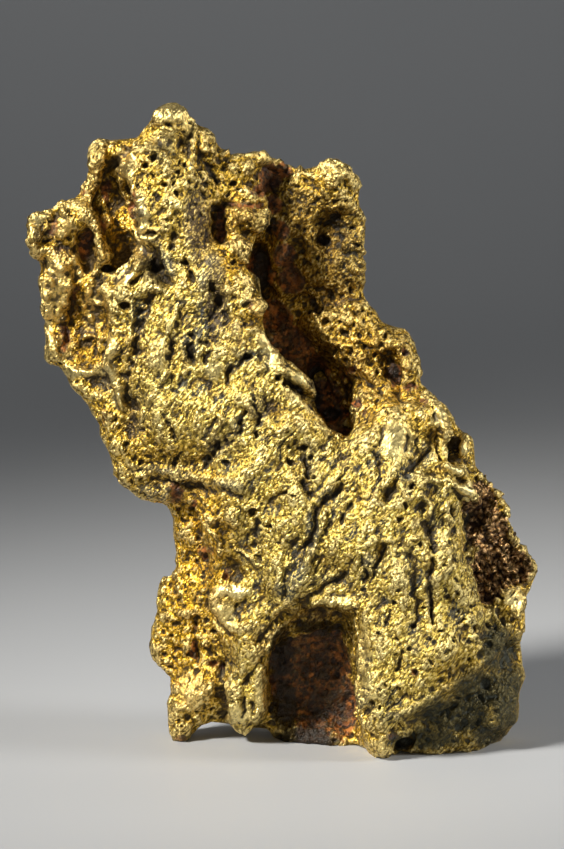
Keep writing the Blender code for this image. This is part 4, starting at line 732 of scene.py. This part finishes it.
def streaked_grain(places, sheet):
    """Fine streaks along the flow, stronger in some places than in others."""
    along = sheet @ (np.array(FLOW) / np.hypot(*FLOW))
    across = sheet @ (np.array((-FLOW[1], FLOW[0])) / np.hypot(*FLOW))
    bent = (across + STREAK_BEND * grain(places, 7.0, 10)) / STREAK_WIDTH
    streak = np.column_stack((along / STREAK_LENGTH, bent, places[:, 1] / STREAK_LENGTH))
    relief = 0.2 * creased(streak, 1.0, 8)
    relief += 0.38 * grain(streak * 1.6, 1.0, 12)
    relief += 0.2 * grain(streak * 3.0, 1.0, 16)
    uneven = 0.45 + 1.1 * step(-0.25, 0.35, grain(places, 13.0, 13))
    return uneven * relief


def natural_relief(places, sheet, plate):
    """Relief that no hand placed: grain, pillows, sponge and loose pits, and streaks on the plate."""
    porous = 1 - 0.88 * plate
    height = sum(tall * grain(places, size, seed) for tall, size, seed in EVEN_GRAIN)
    tall, size, seed = PILLOWS
    height += tall * porous * creased(places, size, seed)
    tall, size, seed = POROUS_GRAIN
    height += tall * porous * grain(places, size, seed)
    tall, size, seed = SPONGE
    height += tall * porous * (sponge(places, size, seed) - 0.55)
    tall, size, seed = PLATE_SWELL
    height += plate * (streaked_grain(places, sheet) + tall * grain(places, size, seed))
    for count, small, large, seed, depth, on_plate in LOOSE_PITS:
        left = on_plate + (1 - on_plate) * porous
        height -= depth * left * scattered(places, count, small, large, seed)
    return height


def worked_relief(places, wavy, plate):
    """Relief of the forms that are drawn on the sheet."""
    height = strokes(wavy, SWELLS) * (1 + SWELL_ON_PLATE * plate)
    height += broken_up(places) * (strokes(wavy, RIDGES) - GROOVE_DEPTH * strokes(wavy, GROOVES))
    height += dots(wavy, KNOBS) - dots(wavy, PITS, PIT_RIM)
    return height


def mark_hollows(piece):
    """How deep each point lies among its neighbours, close by and further round."""
    places, normals = read_points(piece)
    edges = edges_of(piece)
    soft = relaxed(places, edges, FINE_ROUNDS)
    softer = relaxed(soft, edges, BROAD_ROUNDS)
    fine = ((soft - places) * normals).sum(1)
    broad = ((softer - places) * normals).sum(1)
    keep_field(piece, "fine_hollow", np.clip(0.5 + 2.0 * fine, 0.0, 1.0))
    keep_field(piece, "broad_hollow", np.clip(0.5 + 0.5 * broad, 0.0, 1.0))


def thin_out(piece, front):
    """Fewer triangles, most of them kept where the metal faces the eye."""
    group = piece.vertex_groups.new(name="plainer")
    for share in range(10):
        chosen = np.nonzero((front * 9.99).astype(int) == share)[0]
        group.add(chosen.tolist(), 1.0 - 0.08 * share, "REPLACE")
    triangles = sum(len(face.vertices) - 2 for face in piece.data.polygons)
    modify(
        piece, "DECIMATE", ratio=MOST_TRIANGLES / triangles, use_collapse_triangulate=True,
        vertex_group="plainer", vertex_group_factor=0.22,
    )
    piece.vertex_groups.clear()


def make_skin():
    """The solid's copy, beaded, remeshed finely and worked all over."""
    piece = copy_of_solid("gold_nugget")
    fuse(piece, 14)
    add_beads(piece, BEADS)
    fuse(piece, 2)
    places, normals = read_points(piece)
    sheet = on_sheet(places)
    front = step(0.02, 0.35, facing_eye(places, normals))
    wavy = shaken(sheet, places)
    plate = patches(sheet, PLATE_SKIN) * front
    calm = 1 - 0.6 * front * patches(wavy, WORN_AND_HIGHLIT)
    height = calm * natural_relief(places, sheet, plate) + front * worked_relief(places, wavy, plate)
    write_points(piece, places + normals * height[:, None])
    mark_hollows(piece)
    thin_out(piece, front)
    piece.data.shade_smooth()
    return piece


def paint_fields(piece):
    """What the metal's colour follows besides its hollows: the drawn marks, where the stains are, and where
    shade and highlights are painted.
    """
    places, normals = read_points(piece)
    sheet = on_sheet(places)
    facing = facing_eye(places, normals)
    front = step(-0.1, 0.3, facing)
    wavy = shaken(sheet, places)
    creases = broken_up(places) * strokes(wavy, GROOVES)
    keep_field(piece, "groove", front * np.clip(creases, 0.0, 2.0) / 2.0)
    keep_field(piece, "pit", front * np.clip(dots(wavy, PITS), 0.0, 2.0) / 2.0)
    keep_field(piece, "plate", patches(sheet, PLATE_SKIN) * front)
    keep_field(piece, "unseen", 1 - step(-0.5, 0.0, facing))
    keep_field(piece, "red", blobs(places, RED))
    keep_field(piece, "rust", np.maximum(blobs(places, RUST), patches(wavy, RUST_SPOTS) * front))
    for name, marks in (
        ("recess_shade", RECESS_SHADE), ("brown_and_shade", BROWN_AND_SHADE), ("warm", WARM), ("slate_shade", SLATE_SHADE), ("painted_shade", PAINTED_SHADE), ("worn_and_highlit", WORN_AND_HIGHLIT)
    ):
        keep_field(piece, name, patches(wavy, marks) * front)


# ---- the metal ---------------------------------------------------------------------------------


class Nodes:
    """Short ways to lay and join a material's nodes."""

    def __init__(self, name):
        self.material = bpy.data.materials.new(name)
        self.material.use_nodes = True
        self.tree = self.material.node_tree
        self.shader = self.tree.nodes["Principled BSDF"]

    def put(self, kind, settings=(), **inputs):
        node = self.tree.nodes.new("ShaderNode" + kind)
        for name, value in dict(settings).items():
            setattr(node, name, value)
        for name, value in inputs.items():
            self.feed(node, name, value)
        return node

    def feed(self, node, name, value):
        """Give a socket a value or a link. The socket is named, or numbered after an underscore."""
        socket = node.inputs[int(name[1:]) if name[0] == "_" else name.replace("_", " ")]
        if isinstance(value, bpy.types.NodeSocket):
            self.tree.links.new(value, socket)
        else:
            socket.default_value = value

    def math(self, operation, *values):
        node = self.put("Math", {"operation": operation})
        for i, value in enumerate(values):
            self.feed(node, "_%d" % i, value)
        return node.outputs[0]

    def times(self, first, second):
        return self.math("MULTIPLY", first, second)

    def plus(self, first, second):
        return self.math("ADD", first, second)

    def most(self, first, second):
        return self.math("MAXIMUM", first, second)

    def field(self, name):
        return self.put("Attribute", {"attribute_name": name}).outputs["Fac"]

    def between(self, value, low, high, to_low=0.0, to_high=1.0):
        """The value's soft climb from low to high, as a climb from to_low to to_high."""
        node = self.put("MapRange", {"interpolation_type": "SMOOTHSTEP"})
        for i, number in enumerate((value, low, high, to_low, to_high)):
            self.feed(node, "_%d" % i, number)
        return node.outputs[0]

    def coat(self, below, share, above):
        """A tone or a colour with this share of another over it."""
        node = self.put("Mix", {"data_type": "RGBA"})
        self.feed(node, "_0", share)
        self.feed(node, "_6", (*below, 1) if isinstance(below, tuple) else below)
        self.feed(node, "_7", (*above, 1) if isinstance(above, tuple) else above)
        return node.outputs[2]

    def speckle(self, where, size, detail=2.0, rough=0.55):
        node = self.put("TexNoise", Vector=where, Scale=1 / size, Detail=detail, Roughness=rough)
        return node.outputs["Fac"]

    def cells(self, where, size):
        return self.put("TexVoronoi", Vector=where, Scale=1 / size).outputs


def nugget_gold():
    """Native gold: pale on the plate with streaks of painted shade, warm at the sides, with painted shade,
    painted highlights, dirt and rust on it.
    """
    make = Nodes("nugget_gold")
    where = make.put("TexCoord").outputs["Object"]
    flowing = make.put(
        "Mapping", {"vector_type": "TEXTURE"}, Vector=where, Rotation=(0, LEAN, 0), Scale=(0.85, 1.0, 1.6)
    ).outputs[0]
    fine, broad = make.field("fine_hollow"), make.field("broad_hollow")
    plate, pit, groove = make.field("plate"), make.field("pit"), make.field("groove")
    painted_shade, brown_and_shade, worn_highlit_patches = make.field("painted_shade"), make.field("brown_and_shade"), make.field("worn_and_highlit")

    # Patterns that run all over the metal.
    mottled = make.speckle(where, MOTTLE, 4.0)
    speckled = make.speckle(where, SPECKLE, 3.0)
    rust_edge = make.speckle(where, STAIN_EDGE, 4.0, 0.65)
    grains = make.math("MULTIPLY_ADD", make.cells(flowing, CRUMB_CELL)["Distance"], -0.35, 0.35)
    crumb = make.plus(make.times(make.speckle(flowing, CRUMB, 2.0, 0.6), 0.65), grains)
    pore_cells = make.cells(where, PORE)
    pores = make.between(pore_cells["Distance"], 0.26, 0.14)
    pores = make.times(make.between(pore_cells["Color"], 0.5, 0.53), pores)
    bead = make.between(make.cells(where, RED_BEAD)["Distance"], 0.75, 0.25)

    # The gold itself: pale to yellow, warm beside the plate, paler on its crests with wear and painted
    # highlight, and darker in its hollows with painted shade.
    yellow = make.times(make.between(mottled, 0.35, 0.65), make.between(plate, 0.0, 1.0, 1.0, 0.5))
    colour = make.coat(PALE_GOLD, yellow, YELLOW_GOLD)
    warm = make.most(make.field("warm"), make.between(plate, 0.0, 1.0, 0.6, 0.0))
    colour = make.coat(colour, warm, WARM_GOLD)
    # The painted highlight on broad crests is left off where shade is painted; the grain's crests and the
    # rubbed places are paler with wear and painted highlight.
    lit = make.between(make.most(painted_shade, brown_and_shade), 0.0, 1.0, 1.0, 0.0)
    worn_and_highlit = make.most(worn_highlit_patches, make.times(make.between(broad, 0.38, 0.15, 0.0, 0.7), lit))
    worn_crest_highlight = make.times(make.between(crumb, 0.5, 0.64), make.between(fine, 0.62, 0.4))
    worn_crest_highlight = make.most(make.times(worn_crest_highlight, 0.7), make.times(worn_and_highlit, 0.7))
    colour = make.coat(colour, worn_crest_highlight, WORN_HIGHLIGHT_GOLD)
    # Painted shade in the broad hollows.
    deep = make.times(make.between(broad, 0.52, 0.85), make.between(speckled, 0.3, 0.6, 0.5, 1.0))
    colour = make.coat(colour, make.times(deep, 0.8), HOLLOW_SHADE_GOLD)

    # Painted shade, brown in the low spots of the grain, slate grey in streaks and creases, and brown over
    # the set-back places; dirt and painted shade in the pits and pores.
    dull = make.between(worn_highlit_patches, 0.0, 1.0, 0.85, 0.35)
    dull = make.times(dull, make.between(plate, 0.0, 1.0, 1.0, 0.95))
    # Painted shade in the low spots of the grain, less on rubbed places.
    grain_shade = make.times(make.between(crumb, 0.52, 0.42), dull)
    colour = make.coat(colour, grain_shade, GRAIN_SHADE_BROWN)
    # Slate-grey painted shade in given places, along the creases, and in streaks along the plate's hollows.
    slate_shade = make.times(make.field("slate_shade"), make.between(mottled, 0.3, 0.5, 0.7, 1.0))
    slate_shade = make.most(slate_shade, make.between(groove, 0.1, 0.8, 0.0, 0.7))
    shade_streaks = make.between(make.speckle(flowing, SHADE_STREAK, 3.0, 0.6), 0.5, 0.58)
    shade_streaks = make.times(shade_streaks, plate)
    shade_streaks = make.times(shade_streaks, make.between(broad, 0.42, 0.56, 0.1, 0.85))
    slate_shade = make.times(make.most(slate_shade, shade_streaks), make.between(crumb, 0.58, 0.47, 0.2, 1.0))
    colour = make.coat(colour, slate_shade, SLATE_SHADE_GREY)
    # Brown and painted shade on the set-back wall and the far side of the upper plate.
    brown_shading = make.times(brown_and_shade, make.between(crumb, 0.62, 0.4, 0.6, 1.0))
    colour = make.coat(colour, make.times(brown_shading, 0.85), BROWN_SHADE_COLOUR)
    # Dirt and painted shade in the small hollows, the pits and the pores.
    dark = make.between(fine, 0.6, 0.9, 0.0, 0.85)
    dark = make.most(dark, make.between(pit, 0.2, 0.6, 0.0, 0.85))
    dark = make.most(dark, make.times(pores, make.between(worn_and_highlit, 0.0, 1.0, 0.85, 0.5)))
    colour = make.coat(colour, dark, PIT_BROWN)

    # Rust in the drawn hollows, and in those of the back.
    stained = make.between(make.speckle(where, BACK_STAIN, 2.0), 0.5, 0.62, 0.0, 0.8)
    stained = make.times(stained, make.field("unseen"))
    stained = make.times(stained, make.between(broad, 0.4, 0.6))
    rust = make.most(make.field("rust"), stained)
    rust = make.between(make.plus(rust, make.times(rust_edge, 0.6)), 0.55, 1.05)
    blotched = make.between(speckled, 0.42, 0.6)
    blotched = make.times(blotched, make.between(mottled, 0.4, 0.6, 0.25, 1.0))
    colour = make.coat(colour, make.times(rust, 0.92), make.coat(RUST_DARK, blotched, RUST_BRIGHT))

    # Reddish beads in the sunken face with painted glints on their middles, painted shade on the foot and
    # the set-back wall, and near-black painted shade in the deepest places.
    red = make.between(make.plus(make.field("red"), make.times(rust_edge, 0.5)), 0.5, 1.0)
    # Painted glints on the middles of the beads, over the reddish rust.
    glint = make.times(bead, make.between(crumb, 0.34, 0.52))
    colour = make.coat(colour, make.times(red, 0.9), make.coat(RUST_DARK, glint, RED_GLINT_GOLD))
    # Painted shade on the foot and the set-back wall.
    colour = make.coat(colour, make.times(painted_shade, 0.9), PAINTED_SHADE_GOLD)
    # Near-black painted shade in the deepest recesses.
    recess_shade = make.between(make.plus(make.field("recess_shade"), make.times(rust_edge, 1.2)), 0.75, 1.5)
    colour = make.coat(colour, make.times(recess_shade, 0.95), PIT_BROWN)
    make.feed(make.shader, "Base_Color", colour)

    # How metallic and how rough it is, and the grain that is too fine for the mesh.
    earthy = make.most(rust, make.times(make.most(slate_shade, dark), 0.7))
    make.feed(make.shader, "Metallic", make.between(earthy, 0.0, 1.0, 1.0, 0.4))
    rough = make.plus(make.between(speckled, 0.3, 0.7, 0.37, 0.5), make.times(worn_and_highlit, -0.06))
    make.feed(make.shader, "Roughness", make.plus(rough, make.times(earthy, 0.1)))
    crumbled = make.math("SUBTRACT", crumb, make.times(pores, 0.3))
    crumbled = make.plus(crumbled, make.times(make.times(bead, red), 1.2))
    crumbling = make.between(worn_highlit_patches, 0.0, 1.0, 1.0, 0.45)
    coarse = make.put("Bump", Distance=COARSE_DEPTH, Height=crumbled, Strength=crumbling)
    finest = make.speckle(where, FINE_GRAIN, 3.0, 0.6)
    both = make.put("Bump", Distance=FINE_DEPTH, Height=finest, Strength=1.0, Normal=coarse.outputs[0])
    make.feed(make.shader, "Normal", both.outputs[0])
    return make.material


# ---- the studio --------------------------------------------------------------------------------


def stand(thing, place, target):
    """Put a camera or a lamp in the studio, turned to its target."""
    thing.location = place
    thing.rotation_euler = (Vector(target) - Vector(place)).to_track_quat("-Z", "Y").to_euler()
    bpy.context.scene.collection.objects.link(thing)


def make_camera():
    data = bpy.data.cameras.new("camera")
    data.lens = LENS
    data.sensor_width = SENSOR
    data.clip_end = FARTHEST
    camera = bpy.data.objects.new("camera", data)
    stand(camera, CAMERA_PLACE, CAMERA_TARGET)
    bpy.context.scene.camera = camera


def make_lamp(name, place, target, size, power, colour, spread):
    data = bpy.data.lights.new(name, "AREA")
    data.shape = "DISK"
    data.size = size
    data.energy = power
    data.spread = math.radians(spread)
    data.color = colour
    stand(bpy.data.objects.new(name, data), place, target)


def make_floor():
    """A pale sheet that lies flat under the nugget and sweeps up behind it."""
    bpy.ops.mesh.primitive_grid_add(x_subdivisions=1, y_subdivisions=FLOOR_ROWS, size=1.0)
    floor = bpy.context.object
    floor.name = "floor"
    for corner in floor.data.vertices:
        across, back, _ = corner.co
        bend = max(0.0, (back + 0.5 - FLAT_SHARE) / (1 - FLAT_SHARE)) ** SWEEP
        corner.co = (across * FLOOR_WIDTH, back * FLOOR_LENGTH, bend * FLOOR_RISE)
    floor.data.shade_smooth()
    make = Nodes("pale_floor")
    where = make.put("TexCoord").outputs["Object"]
    make.feed(make.shader, "Base_Color", make.coat(FLOOR_GREY, make.speckle(where, 0.4), FLOOR_PALE))
    make.feed(make.shader, "Roughness", 0.6)
    floor.data.materials.append(make.material)


def make_studio():
    world = bpy.data.worlds.new("studio")
    world.use_nodes = True
    world.node_tree.nodes["Background"].inputs["Color"].default_value = SKY
    world.node_tree.nodes["Background"].inputs["Strength"].default_value = SKY_STRENGTH
    bpy.context.scene.world = world
    bpy.context.scene.view_settings.view_transform = "Standard"
    for lamp in LAMPS:
        make_lamp(*lamp)
    make_floor()


skin = make_skin()
paint_fields(skin)
skin.data.materials.append(nugget_gold())
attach(skin, "root")
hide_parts("gold_nugget")

make_camera()
make_studio()
